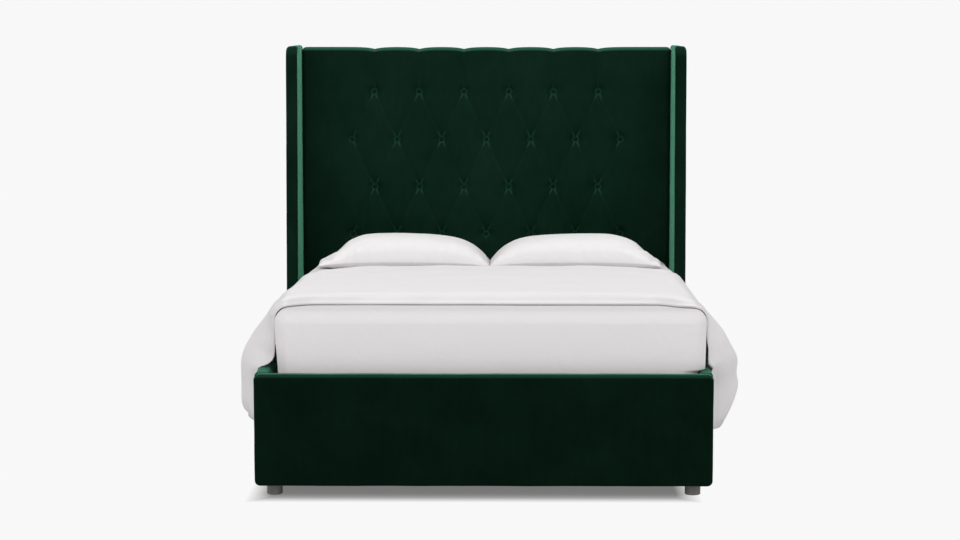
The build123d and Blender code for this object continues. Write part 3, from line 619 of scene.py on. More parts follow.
# %% Plastic feet
def make_foot(name, steel_from):
    """Moulded plastic below a height and a zinc plated stud above it."""
    material, shader = blank_material(name)
    place = object_place(material)
    scuff = use_group(material, scuff_group, place, Scuff_Scale=55.0)
    height = node(material, "ShaderNodeSeparateXYZ")
    join(material, place, height.inputs["Vector"])
    stud = calc(material, "GREATER_THAN", height.outputs["Z"], steel_from)
    plastic = colour_between(material, scuff.outputs["Wear"], (0.125, 0.11, 0.11), (0.175, 0.156, 0.155))
    mix = node(material, "ShaderNodeMix", data_type="RGBA")
    mix.inputs["B"].default_value = (0.55, 0.56, 0.58, 1)
    join(material, plastic, mix.inputs["A"])
    join(material, stud, mix.inputs["Factor"])
    join(material, mix.outputs["Result"], shader.inputs["Base Color"])
    join(material, stud, shader.inputs["Metallic"])
    join(material, spread(material, scuff.outputs["Wear"], 0.62, 0.42), shader.inputs["Roughness"])
    bump(material, shader, scuff.outputs["Height"], 0.0002)
    return material


foot_top_z, leveller_pad_top_z = 0.0362, 0.0082
foot_plastic = make_foot("foot plastic", foot_top_z)
leveller_plastic = make_foot("leveller plastic", leveller_pad_top_z)
print("materials:", len(bpy.data.materials))

# %% [markdown]
# ## Finishes on the frame
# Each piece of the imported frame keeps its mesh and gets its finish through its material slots. That could be one
# line for each of its pieces. Pieces of one kind have names that start alike, so a short list does it, and the
# first start that fits counts.

# %% Give the frame its finishes
node_finishes = (
    ("footboard_core", timber_across),
    ("headboard_top_rail", timber_across),
    ("headboard_middle_rail", timber_across),
    ("headboard_bottom_rail", timber_across),
    ("side_rail_core", timber_along),
    ("slat_cleat", timber_along),
    ("centre_beam", timber_along),
    ("beam_leg", timber_up),
    ("headboard_post", timber_up),
    ("slat_screws", fastener_steel),
    ("slat_", slat_wood),
    ("headboard_board", plywood_board),
    ("wing_core", plywood_wing),
    ("corner_bracket", bracket_steel),
    ("beam_hanger", bracket_steel),
    ("bracket_screws", fastener_steel),
    ("wing_bolts", fastener_steel),
    ("foot_nuts", fastener_steel),
    ("foot_", foot_plastic),
    ("leveller", leveller_plastic),
    ("tuft_buttons", button_lightened_velvet),
)
painted = 0
for name, cad_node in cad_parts.items():
    for start, material in node_finishes:
        if name.startswith(start) and not name.startswith("footboard_cover"):
            for slot in cad_node.material_slots:
                slot.material = material
            painted += 1
            break
print("painted", painted, "frame nodes")

# %% [markdown]
# ## Tools for soft pieces
# Upholstery and bedding have rounded edges, soft lumps and a skin with a real thickness. They could be sculpted by
# hand, but a script has to give the same shape each time. So every soft piece starts from a block or a grid, gets
# its rounded edges and enough points, and is then shaped by small moves of its points.


# %% Blocks, rounded edges and cuts
def block(low, high):
    """A box between two corners."""
    bm = bmesh.new()
    bmesh.ops.create_cube(bm, size=1)
    low, high = Vector(low), Vector(high)
    bmesh.ops.scale(bm, vec=high - low, verts=bm.verts)
    bmesh.ops.translate(bm, vec=(low + high) / 2, verts=bm.verts)
    return bm


def lies_at(item, axis, value):
    """Whether all points of an edge or a face lie at a place along an axis."""
    return all(abs(vertex.co[axis] - value) < 1e-5 for vertex in item.verts)


def round_off(bm, edges, radius, steps):
    """Round some edges."""
    bmesh.ops.bevel(
        bm, geom=edges, offset=radius, offset_type="OFFSET", segments=steps, profile=0.5,
        affect="EDGES", material=-1, clamp_overlap=True,
    )


def slice_up(bm, axis, spacing):
    """Cut a mesh across an axis at even steps, so that it has points to shape."""
    places = [vertex.co[axis] for vertex in bm.verts]
    low, high = min(places), max(places)
    count = max(1, round((high - low) / spacing))
    normal = Vector((axis == 0, axis == 1, axis == 2))
    for number in range(1, count):
        at = low + (high - low) * number / count
        everything = bm.verts[:] + bm.edges[:] + bm.faces[:]
        bmesh.ops.bisect_plane(bm, geom=everything, dist=1e-5, plane_co=normal * at, plane_no=normal)


def remove_faces(bm, rule):
    """Take away the faces that a rule picks."""
    bmesh.ops.delete(bm, geom=[face for face in bm.faces if rule(face)], context="FACES")


print("blocks are cut from cubes with bmesh operators")


# %% Points of a mesh
def points_of(mesh):
    """The points of a mesh as an array with three columns."""
    flat = np.empty(len(mesh.vertices) * 3)
    mesh.vertices.foreach_get("co", flat)
    return flat.reshape(-1, 3)


def normals_of(mesh):
    """The normals at the points of a mesh."""
    flat = np.empty(len(mesh.vertices) * 3)
    mesh.vertices.foreach_get("normal", flat)
    return flat.reshape(-1, 3)


def put_points(mesh, points):
    """Write the points of a mesh back."""
    mesh.vertices.foreach_set("co", np.asarray(points, float).reshape(-1))
    mesh.update()


def put_mask(mesh, name, values):
    """Write a number at each point of a mesh, for its material to use."""
    mask = mesh.attributes.new(name, "FLOAT", "POINT")
    mask.data.foreach_set("value", np.asarray(values, float))


def ripple(points, size, seed):
    """Smooth noise from -1 to 1 with bumps of about the given size along each axis."""
    scaled = points / np.asarray(size, float) + seed
    return np.array([noise.noise(Vector(place)) for place in scaled])


def ease(value):
    """A share that goes smoothly from 0 to 1."""
    value = np.clip(value, 0, 1)
    return value * value * (3 - 2 * value)


print("half way, ease gives", ease(0.5), "and a tenth of the way", round(float(ease(0.1)), 3))


# %% Pieces and their skins
def make_piece(name, bm, body, material, replaced, face_out=True):
    """Turn a finished mesh into a piece that rides on a body and stands for its CAD nodes."""
    if face_out:
        bmesh.ops.recalc_face_normals(bm, faces=bm.faces)
    mesh = bpy.data.meshes.new(name)
    bm.to_mesh(mesh)
    bm.free()
    mesh.polygons.foreach_set("use_smooth", [True] * len(mesh.polygons))
    mesh.materials.append(material)
    piece = bpy.data.objects.new(name, mesh)
    bpy.context.scene.collection.objects.link(piece)
    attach(piece, body)
    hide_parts(*replaced)
    print(name, len(mesh.polygons), "faces")
    return piece


def thicken(piece, thickness):
    """Give a skin its thickness, inwards."""
    modifier = piece.modifiers.new("thickness", "SOLIDIFY")
    modifier.thickness = thickness
    modifier.offset = -1
    modifier.use_rim = True


print("a skin gets its thickness inwards, so it never grows past its solid")

# %% [markdown]
# ## Tufted headboard pad
# The pad is one piece of velvet over foam. Buttons pull it down to the board, and folds run between neighbouring
# buttons along the diamonds, up to the top edge and down to the lower one. A cloth simulation that is pinned at the
# buttons could find the folds, but slowly, and not the same each time. Here the depth of each point follows from
# its distance to the nearest folds and buttons, and the skin rolls over at all four sides.

# %% Pad sizes
pad_low, pad_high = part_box("headboard_pad")
pad_half_width = pad_high.x
pad_face_y = pad_low.y
pad_bottom_z = pad_low.z
pad_top_z = pad_high.z
board_face_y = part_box("headboard_board")[0].y
wrap_back_y = pad_high.y
wrap_thickness = 0.012
side_roll = 0.020
top_roll = 0.018
pad_skin = 0.004
puff_height = 0.030
tuft_rows = 4
tuft_columns = 7
tuft_pitch_x = 0.1978
tuft_margin_z = 0.195
tuft_pitch_z = (pad_top_z - pad_bottom_z - 2 * tuft_margin_z) / (tuft_rows - 1)
pad_step = 0.004


def row_z(row):
    """Height of a row of buttons, counted from the top."""
    return pad_top_z - tuft_margin_z - row * tuft_pitch_z


def row_xs(row):
    """Places of the buttons across one row."""
    count = tuft_columns - 1 + row % 2
    return [(index - (count - 1) / 2) * tuft_pitch_x for index in range(count)]


buttons = [(x, row_z(row)) for row in range(tuft_rows) for x in row_xs(row)]
folds = []
for row in range(tuft_rows - 1):
    for x in row_xs(row):
        for other in row_xs(row + 1):
            if abs(abs(x - other) - tuft_pitch_x / 2) < 1e-6:
                folds.append(((x, row_z(row)), (other, row_z(row + 1)), "diamond"))
folds += [((x, row_z(0)), (x, pad_top_z + 0.02), "edge") for x in row_xs(0)]
folds += [((x, row_z(tuft_rows - 1)), (x, pad_bottom_z - 0.02), "edge") for x in row_xs(tuft_rows - 1)]
print("buttons:", len(buttons), "folds:", len(folds))


# %% Depth of the tufting
def from_fold(start, end, x, z):
    """Share of the way along a fold, distance from it, and its length."""
    start, end = np.array(start), np.array(end)
    along = end - start
    share = np.clip(((x - start[0]) * along[0] + (z - start[1]) * along[1]) / (along @ along), 0, 1)
    away = np.hypot(x - start[0] - share * along[0], z - start[1] - share * along[1])
    return share, away, math.hypot(*along)


def tuft_depth(x, z):
    """How far the velvet lies behind the crown of the puffs."""
    power = 4
    total = np.zeros_like(x)
    for start, end, kind in folds:
        share, away, _ = from_fold(start, end, x, z)
        if kind == "diamond":
            pull = np.abs(2 * share - 1) ** 2.6
            depth = 0.0075 + 0.0165 * pull
            width = 0.030 - 0.015 * pull
        else:
            pull = (1 - share) ** 2.2
            depth = 0.0085 + 0.0155 * pull
            width = 0.030 - 0.014 * pull
        total += (depth * np.exp(-away / width)) ** power
    for button_x, button_z in buttons:
        away = np.hypot(x - button_x, z - button_z)
        turn = np.arctan2(z - button_z, x - button_x)
        pucker = 1 + 0.05 * np.sin(9 * turn + 40 * button_x) * np.exp(-((away - 0.02) / 0.02) ** 2)
        dent = puff_height * np.exp(-np.maximum(away - 0.008, 0) / 0.021) * pucker
        total += dent**power
    return np.minimum(total ** (1 / power), puff_height + 0.0003)


deepest = tuft_depth(*(np.array([value]) for value in buttons[0]))[0]
print("depth at a button:", round(float(deepest) * 1000, 1), "mm")


# %% Painted highlights in the creases, and the scalloped edge
def tuft_highlight_mask(x, z):
    """A painted highlight: 1 on the sharp creases next to each button, where the pile turns to the light, and fainter
    further off.
    """
    mask = np.zeros_like(x)
    for start, end, kind in folds:
        share, away, length = from_fold(start, end, x, z)
        if kind == "diamond":
            reach = np.minimum(share, 1 - share) * length
            strength = 0.05 + 0.62 * (1 - ease((reach - 0.016) / 0.034))
        else:
            strength = 0.02 + 0.22 * (1 - ease((share * length - 0.014) / 0.04))
        mask = np.maximum(mask, strength * np.exp(-((away / 0.0025) ** 2)))
    for button_x, button_z in buttons:
        away = np.hypot(x - button_x, z - button_z)
        mask = np.maximum(mask, 0.62 * np.exp(-(((away - 0.0125) / 0.0020) ** 2)))
    return mask


def scallop(x):
    """How far the top edge dips over each button of the upper row, where its fold pulls the velvet down."""
    nearest = np.min([np.abs(x - button_x) for button_x in row_xs(0)], axis=0)
    return 0.0078 * np.exp(-nearest / 0.030)


print("the top edge dips by", round(float(scallop(np.array(row_xs(0)[:1]))[0]) * 1000, 1), "mm over a button")


# %% Skin of the pad
def roll(distance, reach, radius):
    """A point on a profile that runs flat to its reach, rolls over by a quarter turn and runs straight back."""
    straight = reach - radius
    turn = np.clip((distance - straight) / radius, 0, math.pi / 2)
    outward = np.where(distance < straight, distance, straight + radius * np.sin(turn))
    back = radius * (1 - np.cos(turn)) + np.maximum(distance - straight - radius * math.pi / 2, 0)
    return outward, back, turn


side_back = board_face_y - pad_face_y
top_back = wrap_back_y - pad_face_y
pad_middle_z = (pad_top_z + pad_bottom_z) / 2
pad_half_height = (pad_top_z - pad_bottom_z) / 2
half_u = pad_half_width - side_roll + side_roll * math.pi / 2 + side_back - side_roll
up_v = pad_half_height - top_roll + top_roll * math.pi / 2 + top_back - top_roll
down_v = pad_half_height - side_roll + side_roll * math.pi / 2 + side_back - side_roll

bm = bmesh.new()
bmesh.ops.create_grid(
    bm, x_segments=round(2 * half_u / pad_step), y_segments=round((up_v + down_v) / pad_step), size=1
)
headboard_pad = make_piece("tufted_pad", bm, "frame", pad_lightened_velvet, ["headboard_pad"], face_out=False)
print("skin of the pad, laid flat:", round(2 * half_u, 3), "by", round(up_v + down_v, 3), "m")

# %% Shape the pad
grid = points_of(headboard_pad.data)
u = grid[:, 0] * half_u
v = (grid[:, 1] + 1) / 2 * (up_v + down_v) - down_v
out_x, back_x, turn_x = roll(np.abs(u), pad_half_width, side_roll)
up_z, back_up, turn_up = roll(np.maximum(v, 0), pad_half_height, top_roll)
down_z, back_down, turn_down = roll(np.maximum(-v, 0), pad_half_height, side_roll)
x = np.sign(u) * out_x
z = pad_middle_z + np.where(v > 0, up_z, -down_z)
depth = tuft_depth(x, z)
fade = np.cos(turn_x) * np.cos(turn_down)
flat = np.stack([x, np.zeros_like(x), z], axis=1)
# Painted highlight: a paler pile along the top roll and on the tufting's creases and button rings, written for the
# velvet to use.
rim_highlight = 0.95 * ease((turn_up - 0.1) / 0.5)
put_mask(headboard_pad.data, "painted_highlight", np.maximum(tuft_highlight_mask(x, z) * fade, rim_highlight))
top_sin, top_cos = np.sin(turn_up), np.cos(turn_up)
unevenness = 0.0012 * (1 + ripple(flat, (0.11, 1, 0.09), 3.1)) * fade * top_cos
depth = depth * fade * (1 - 0.85 * top_sin) + unevenness
kept = back_x * (1 - top_sin) + np.minimum(back_x, wrap_thickness) * top_sin
inward = kept + depth
y = pad_face_y + back_up + back_down + inward * top_cos
z = z - inward * top_sin
z -= scallop(x) * ease((z - pad_top_z + 0.09) / 0.08)
put_points(headboard_pad.data, np.stack([x, y, z], axis=1))
print("the pad's top edge lies at", round(float(z.max()), 4), "m")

# %% Open corners of the pad
hidden = (back_x > side_roll + 1e-5) & ((back_up > top_roll + 1e-5) | (back_down > side_roll + 1e-5))
bm = bmesh.new()
bm.from_mesh(headboard_pad.data)
bm.verts.ensure_lookup_table()
bmesh.ops.delete(bm, geom=[bm.verts[int(index)] for index in np.nonzero(hidden)[0]], context="VERTS")
bm.to_mesh(headboard_pad.data)
bm.free()
print("points left out where two sides roll over at once:", int(hidden.sum()))
if normals_of(headboard_pad.data)[:, 1].mean() > 0:
    headboard_pad.data.flip_normals()
thicken(headboard_pad, pad_skin)

# %% [markdown]
# ## Wings
# Each wing is a padded panel of plywood, foam and velvet. Its front edge leans back towards the top, and its front
# top corner is round. A stretched cube could have only one of the two. So a flat outline gets its round corner by a
# bevel of that point, is extruded to the wing's thickness and rounded along its rims.

# %% Wing covers
wing_edge_radius = 0.014
wing_corner_radius = 0.05
wing_depth_top = 0.200
wing_skin = 0.012
wing_step = 0.022
for side, sign in (("left", -1), ("right", 1)):
    low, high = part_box(f"wing_cover_{side}")
    inner_x = min(abs(low.x), abs(high.x))
    outer_x = max(abs(low.x), abs(high.x))
    front_top_y = pad_face_y - wing_depth_top
    bm = bmesh.new()
    bmesh.ops.create_grid(bm, x_segments=1, y_segments=1, size=0.5)
    for vertex in bm.verts:
        front, bottom = vertex.co.x < 0, vertex.co.y < 0
        if front:
            y = low.y if bottom else front_top_y
        else:
            y = high.y
        vertex.co = (sign * inner_x, y, low.z if bottom else high.z)
    corner = [vertex for vertex in bm.verts if vertex.co.y < front_top_y + 1e-4 and vertex.co.z > high.z - 1e-4]
    bmesh.ops.bevel(
        bm, geom=corner, offset=wing_corner_radius, offset_type="OFFSET", segments=12, profile=0.5,
        affect="VERTICES", material=-1,
    )
    pushed = bmesh.ops.extrude_face_region(bm, geom=bm.faces[:])
    new_points = [item for item in pushed["geom"] if isinstance(item, bmesh.types.BMVert)]
    bmesh.ops.translate(bm, vec=(sign * (outer_x - inner_x), 0, 0), verts=new_points)
    rims = [
        edge for edge in bm.edges
        if (lies_at(edge, 0, sign * inner_x) or lies_at(edge, 0, sign * outer_x)) and not lies_at(edge, 2, low.z)
    ]
    round_off(bm, rims, wing_edge_radius, 6)
    remove_faces(bm, lambda face: lies_at(face, 2, low.z))
    slice_up(bm, 2, wing_step)
    slice_up(bm, 1, wing_step)
    wing = make_piece(f"wing_{side}", bm, "frame", wing_velvet, [f"wing_cover_{side}"])
    places = points_of(wing.data)
    normals = normals_of(wing.data)
    across_share = (np.abs(places[:, 0]) - inner_x) / (outer_x - inner_x)
    near_top = ease((places[:, 2] - high.z + 0.03) / 0.03)
    places[:, 2] -= 0.0035 * near_top * across_share**2
    lumps = 0.0006 * ripple(places, (0.12, 0.10, 0.22), 5 + sign) + 0.0003 * ripple(places, (0.03, 0.03, 0.05), 9)
    inside = ease((np.minimum(places[:, 1] - low.y, high.y - places[:, 1])) / 0.03)
    put_points(wing.data, places + normals * (lumps - 0.0012)[:, None] * inside[:, None])
    thicken(wing, wing_skin)

# %% [markdown]
# ## Padded base
# The footboard and the side rails are timber cores in padded covers of velvet. Closed boxes would cut through their
# cores. So each cover is a skin that is open where its core lies bare, with its edges rounded as foam rounds them
# and a slight unevenness, as cloth has where it is stapled.


# %% Footboard
def upholster(piece, thickness, seed):
    """The soft unevenness of foam under velvet, and the thickness of the cover."""
    places = points_of(piece.data)
    normals = normals_of(piece.data)
    lumps = 0.0009 * ripple(places, (0.16, 0.16, 0.11), seed) + 0.0003 * ripple(places, (0.05, 0.05, 0.03), seed + 7)
    put_points(piece.data, places + normals * (lumps - 0.0011)[:, None])
    thicken(piece, thickness)


def runs_along(edge, axis):
    """Whether an edge runs along an axis."""
    return abs(edge.verts[0].co[axis] - edge.verts[1].co[axis]) > 1e-4


footboard_corner_radius, footboard_front_radius = 0.021, 0.014
footboard_step = 0.02
low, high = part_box("footboard_cover")
bm = block(low, high)
round_off(bm, [edge for edge in bm.edges if runs_along(edge, 1)], footboard_corner_radius, 8)
round_off(bm, [edge for edge in bm.edges if lies_at(edge, 1, low.y)], footboard_front_radius, 7)
remove_faces(bm, lambda face: lies_at(face, 1, high.y))
slice_up(bm, 0, footboard_step)
slice_up(bm, 2, footboard_step)
footboard = make_piece("footboard", bm, "frame", footboard_shaded_velvet, ["footboard_cover"])
upholster(footboard, thickness=0.008, seed=2.5)

# %% Side rails
rail_outer_radius, rail_inner_radius = 0.009, 0.005
rail_step = 0.025
tucked = 0.07
bare_gap = 0.0016
for side, sign in (("left", -1), ("right", 1)):
    low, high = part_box(f"side_rail_cover_{side}")
    inner_x = sign * min(abs(low.x), abs(high.x))
    outer_x = sign * max(abs(low.x), abs(high.x))
    bm = block(low, high)
    outer_edges = [edge for edge in bm.edges if runs_along(edge, 1) and lies_at(edge, 0, outer_x)]
    round_off(bm, outer_edges, rail_outer_radius, 5)
    inner_top = [edge for edge in bm.edges if lies_at(edge, 0, inner_x) and lies_at(edge, 2, high.z)]
    round_off(bm, inner_top, rail_inner_radius, 3)
    slice_up(bm, 1, rail_step)
    slice_up(bm, 2, rail_step)
    remove_faces(bm, lambda face: lies_at(face, 0, inner_x) and face.calc_center_median().z < high.z - tucked)
    remove_faces(bm, lambda face: lies_at(face, 1, low.y) or lies_at(face, 1, high.y))
    for vertex in bm.verts:
        if abs(vertex.co.x - inner_x) < 1e-5 and vertex.co.z < high.z - 0.004:
            vertex.co.x -= sign * bare_gap
    rail = make_piece(f"side_rail_{side}", bm, "frame", velvet, [f"side_rail_cover_{side}"])
    upholster(rail, thickness=0.005, seed=4.2 + sign)

# %% [markdown]
# ## Covers below and behind the headboard
# Below the tufted pad and behind the headboard a plain cloth is stretched over the frame and stapled. It could stay
# a flat plate, but stretched cloth gives a little between its staples. A grid with a few millimetres of slack, a
# sewn line and a turned-in rim shows that.


# %% Covers below and behind the headboard
def stretched_panel(name, node_name, face_y, outward, material, seed, below_top=0.0):
    """A flat cloth that is stretched over a frame, a little slack between its fixings."""
    low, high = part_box(node_name)
    high.z -= below_top
    bm = bmesh.new()
    bmesh.ops.create_grid(
        bm, x_segments=round((high.x - low.x) / 0.02), y_segments=round((high.z - low.z) / 0.02), size=1
    )
    piece = make_piece(name, bm, "frame", material, [node_name], face_out=False)
    grid = points_of(piece.data)
    x = (low.x + high.x) / 2 + grid[:, 0] * (high.x - low.x) / 2
    z = (low.z + high.z) / 2 + grid[:, 1] * (high.z - low.z) / 2
    edge = np.minimum(np.minimum(x - low.x, high.x - x), np.minimum(z - low.z, high.z - z))
    flat = np.stack([x, np.zeros_like(x), z], axis=1)
    slack = 0.0018 * ease(edge / 0.12) * (1 + 0.6 * ripple(flat, (0.3, 1, 0.22), seed))
    roll_in = 0.002 * (1 - ease(edge / 0.01))
    hem = 0.0005 * np.exp(-((edge - 0.03) / 0.004) ** 2)
    y = face_y - outward * (slack + roll_in + hem)
    put_points(piece.data, np.stack([x, y, z], axis=1))
    if normals_of(piece.data)[:, 1].mean() * outward < 0:
        piece.data.flip_normals()
    thicken(piece, 0.002)
    return piece


back_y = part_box("headboard_back_cover")[1].y
lower_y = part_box("headboard_lower_cover")[0].y
stretched_panel(
    "back_panel", "headboard_back_cover", face_y=back_y, outward=1, material=back_cloth,
    seed=1.3, below_top=0.009,
)
stretched_panel(
    "lower_panel", "headboard_lower_cover", face_y=lower_y, outward=-1, material=velvet, seed=6.1
)

# %% [markdown]
# ## Mattress
# The mattress is foam and springs in a quilted ticking. Its top gives way a little towards the head, under the
# pillows, and its soft sides don't stand upright: the right one bulges over the rail. A soft body simulation could
# find this, but the amounts are known, so a rounded block is bent by them.


# %% Lean and sag of the mattress
sheet_low, sheet_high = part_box("fitted_sheet")
rail_top_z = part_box("side_rail_cover_left")[1].z
right_bulge = 0.036
left_draw = 0.013
head_drop = 0.024


def leaning(places, later=0.0):
    """How far the mattress leans to the right: its right side bulges over the rail and its left draws in."""
    above = ease((places[:, 2] - rail_top_z - 0.0005 - later) / 0.007)
    low_down = 1 - ease((places[:, 2] - rail_top_z) / 0.12)
    side = ease((places[:, 0] / sheet_high.x - 0.90) / 0.06)
    other = ease((-places[:, 0] / sheet_high.x - 0.90) / 0.06)
    return (0.012 + above * (right_bulge - 0.012)) * side + (left_draw + 0.005 * low_down) * other


def head_sag(y):
    """How far the top of the mattress gives way towards its head end, under the pillows."""
    return head_drop * ease((y - 0.20) / 0.65)


def sag_at(places):
    """The same for any point of the mattress: nothing at the rails, all of it at the top."""
    above_rails = rail_top_z + 0.010
    return head_sag(places[:, 1]) * np.clip((places[:, 2] - above_rails) / (sheet_high.z - above_rails), 0, 1)


print("the mattress bulges by", right_bulge, "m and sags by", head_drop, "m")


# %% Mattress block
bulge_cuts = [rail_top_z + 0.0006, rail_top_z + 0.0035, rail_top_z + 0.0075]


def cut_at(bm, height):
    """One level cut, where a side starts to bulge."""
    everything = bm.verts[:] + bm.edges[:] + bm.faces[:]
    bmesh.ops.bisect_plane(bm, geom=everything, dist=1e-5, plane_co=(0, 0, height), plane_no=(0, 0, 1))


def mattress_block(inset, corner_radius, edge_radius):
    """A mattress-shaped block inside the sheet's box."""
    low = sheet_low + Vector((inset, inset, 0))
    high = sheet_high - Vector((inset, inset, inset))
    bm = block(low, high)
    round_off(bm, [edge for edge in bm.edges if runs_along(edge, 2)], corner_radius, 8)
    round_off(bm, [edge for edge in bm.edges if lies_at(edge, 2, high.z)], edge_radius, 7)
    return bm, low, high


middle_y = (sheet_low.y + sheet_high.y) / 2
half_width, half_length = 0.762, 1.016
base_draw = 0.008


def draw_in(places, height_share):
    """Draw the sides and the ends in by the same length towards the base."""
    draw = 1 - base_draw / half_width * (1 - height_share)
    places[:, 0] *= draw
    places[:, 1] = middle_y + (places[:, 1] - middle_y) * (1 - (1 - draw) * half_width / half_length)


print("a block is cut at", [round(height, 4) for height in bulge_cuts], "m, where its sides start to lean")

# %% Mattress core
core_later = 0.003
quilt_pitch, quilt_depth = 0.12, 0.0015
bm, low, high = mattress_block(inset=0.004, corner_radius=0.056, edge_radius=0.041)
round_off(bm, [edge for edge in bm.edges if lies_at(edge, 2, low.z)], 0.008, 3)
for axis in (0, 1, 2):
    slice_up(bm, axis, 0.035)
for height in bulge_cuts:
    cut_at(bm, height + core_later)
mattress = make_piece("mattress_core", bm, "mattress", ticking, ["mattress"])
places = points_of(mattress.data)
quilt_turn = 2 * math.pi / quilt_pitch
quilt = quilt_depth * np.cos(places[:, 0] * quilt_turn) * np.cos((places[:, 1] - middle_y) * quilt_turn)
draw_in(places, (places[:, 2] - low.z) / (high.z - low.z))
is_base, is_top = places[:, 2] < low.z + 0.001, places[:, 2] > high.z - 0.001
places[:, 2] += np.where(is_base, 0.0018 + quilt, np.where(is_top, -0.0018 + quilt, 0))
places[:, 0] += leaning(places, core_later)
places[:, 2] -= sag_at(places)
put_points(mattress.data, places)

# %% [markdown]
# ## Fitted sheet
# A fitted sheet has sewn corner pockets with elastic below: it is tight on top and gathers at the lower corners. It
# could be simulated, but it lies a few millimetres off the mattress all over. So the same block, slightly larger
# and open below, gets small gathers, a wavy lower edge and some slack.

# %% Fitted sheet
sheet_thickness = 0.0012
bm, low, high = mattress_block(inset=0, corner_radius=0.060, edge_radius=0.045)
remove_faces(bm, lambda face: lies_at(face, 2, low.z))
for axis in (0, 1, 2):
    slice_up(bm, axis, 0.024)
for height in bulge_cuts:
    cut_at(bm, height)
fitted_sheet = make_piece("sheet_fitted", bm, "mattress", sheet_cotton, ["fitted_sheet"])
places = points_of(fitted_sheet.data)
normals = normals_of(fitted_sheet.data)
height_share = (places[:, 2] - low.z) / (high.z - low.z)
draw_in(places, height_share)
side = ease((high.z - 0.02 - places[:, 2]) / 0.05)
gathered_x, gathered_y = 0.70, 0.954
past_x = np.abs(places[:, 0]) - gathered_x
past_y = np.abs(places[:, 1] - middle_y) - gathered_y
corner = ease((past_x + past_y + 0.02) / 0.14) * side
gathers = 0.0016 * np.sin((places[:, 0] + places[:, 1]) * 2 * math.pi / 0.05) * corner * (1 - height_share)
elastic = 0.0012 * ripple(places, (0.035, 0.035, 0.2), 8.0) * np.exp(-(places[:, 2] - low.z) / 0.04)
slack = 0.0010 * (ripple(places, (0.20, 0.20, 0.10), 1.7) - 1)
places = places + normals * (gathers + elastic + slack)[:, None]
places[:, 0] += leaning(places)
places[:, 2] -= sag_at(places)
put_points(fitted_sheet.data, places)
thicken(fitted_sheet, sheet_thickness)

# %% [markdown]
# ## Duvet
# The duvet lies across the mattress, bends over its edges, swings out past the rails and hangs down in shallow
# folds. It has two layers that meet at the hem, with a stitched line a little way in. It could fall into place as a
# simulated cloth, but where each fold lands could then not be chosen. So its sides follow a drawn profile: over the
# top, round the bend, down a slope and round a knee.

# %% Duvet sizes
duvet_low, duvet_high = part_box("duvet")
duvet_thickness = 0.026
duvet_rest_z = sheet_high.z + 0.0012
mattress_edge_x = 0.717
edge_bend = 0.0453
flare = math.radians(33)
duvet_slope = 0.168
knee_radius = 0.120
fold_depth = 0.022
hem_z = 0.215
folds_left = (0.2, 0.5, 0.8, 1, 0.2, -0.6, 0.3, -0.9, -0.1, 0.8, 0.1, -0.8, 0, 0.9, 0.2)
folds_right = (-0.2, 0.5, 1, 0, -0.9, -0.1, 0.9, 0.1, -1, -0.3, 0.8, 0.3, -0.7, 0.4, 0.9)
hem_run = 0.034
duvet_start_y, duvet_end_y = duvet_low.y, duvet_high.y
duvet_length = duvet_end_y - duvet_start_y
print("duvet:", round(duvet_length, 3), "m from front to back")


# %% Folds along the duvet
def fold_share(y, shares):
    """How far a side swings out at a place along the duvet, from its table of folds."""
    steps = len(shares) - 3
    stations = np.array(
        [0, *[hem_run + (duvet_length - 2 * hem_run) * step / steps for step in range(steps + 1)], duvet_length]
    )
    along = y - duvet_start_y
    place = np.interp(along, stations, np.arange(len(stations)))
    low_index = np.clip(place.astype(int), 0, len(shares) - 2)
    table = np.array(shares, float)
    share = place - low_index
    before = table[np.maximum(low_index - 1, 0)]
    first, second = table[low_index], table[low_index + 1]
    after = table[np.minimum(low_index + 2, len(shares) - 1)]
    bend = (second - before) / 2
    bend_after = (after - first) / 2
    square, cube = share**2, share**3
    return (
        (2 * cube - 3 * square + 1) * first + (cube - 2 * square + share) * bend
        + (3 * square - 2 * cube) * second + (cube - square) * bend_after
    )


middle_swings = [round(float(fold_share(np.array([(duvet_start_y + duvet_end_y) / 2]), shares)[0]), 2)
                 for shares in (folds_left, folds_right)]
print("swing half way along, left and right:", middle_swings)


# %% Profile of a free side
def duvet_side(distance, slope, lift):
    """A point and its outward direction at a distance from the middle, on a layer lifted off the lower one."""
    corner_z = duvet_rest_z - edge_bend
    near, far = edge_bend + lift, knee_radius + lift
    arc_near = near * (math.pi / 2 - flare)
    arc_far = far * flare
    after_top = distance - mattress_edge_x
    after_near = after_top - arc_near
    after_slope = after_near - slope
    after_far = after_slope - arc_far
    angle = np.where(
        after_top < 0, math.pi / 2,
        np.where(after_near < 0, math.pi / 2 - after_top / near,
                 np.where(after_slope < 0, flare, np.where(after_far < 0, flare - after_slope / far, 0))),
    )
    shoulder_x = mattress_edge_x + near * math.cos(flare)
    shoulder_z = corner_z + near * math.sin(flare)
    run = np.clip(after_near, 0, slope)
    knee_x = shoulder_x + slope * math.sin(flare) - far * math.cos(flare)
    knee_z = shoulder_z - slope * math.cos(flare) - far * math.sin(flare)
    x = np.where(
        after_top < 0, distance,
        np.where(after_near < 0, mattress_edge_x + near * np.cos(angle),
                 np.where(after_slope < 0, shoulder_x + run * math.sin(flare), knee_x + far * np.cos(angle))),
    )
    z = np.where(
        after_top < 0, corner_z + near,
        np.where(after_near < 0, corner_z + near * np.sin(angle),
                 np.where(after_slope < 0, shoulder_z - run * math.cos(flare),
                          knee_z + far * np.sin(angle) - np.maximum(after_far, 0))),
    )
    return x, z, angle


print("a free side slopes by", round(math.degrees(flare)), "degrees before it hangs")

# %% [markdown]
# ## Front corners of the duvet
# At its front corners the duvet has sunk onto the rails: it runs down the mattress, over the rail and down beside
# it. These bends could be one more formula, but a path of a few points that is smoothed twice is shorter and easier
# to change. Further back the duvet leaves this path for the free profile.

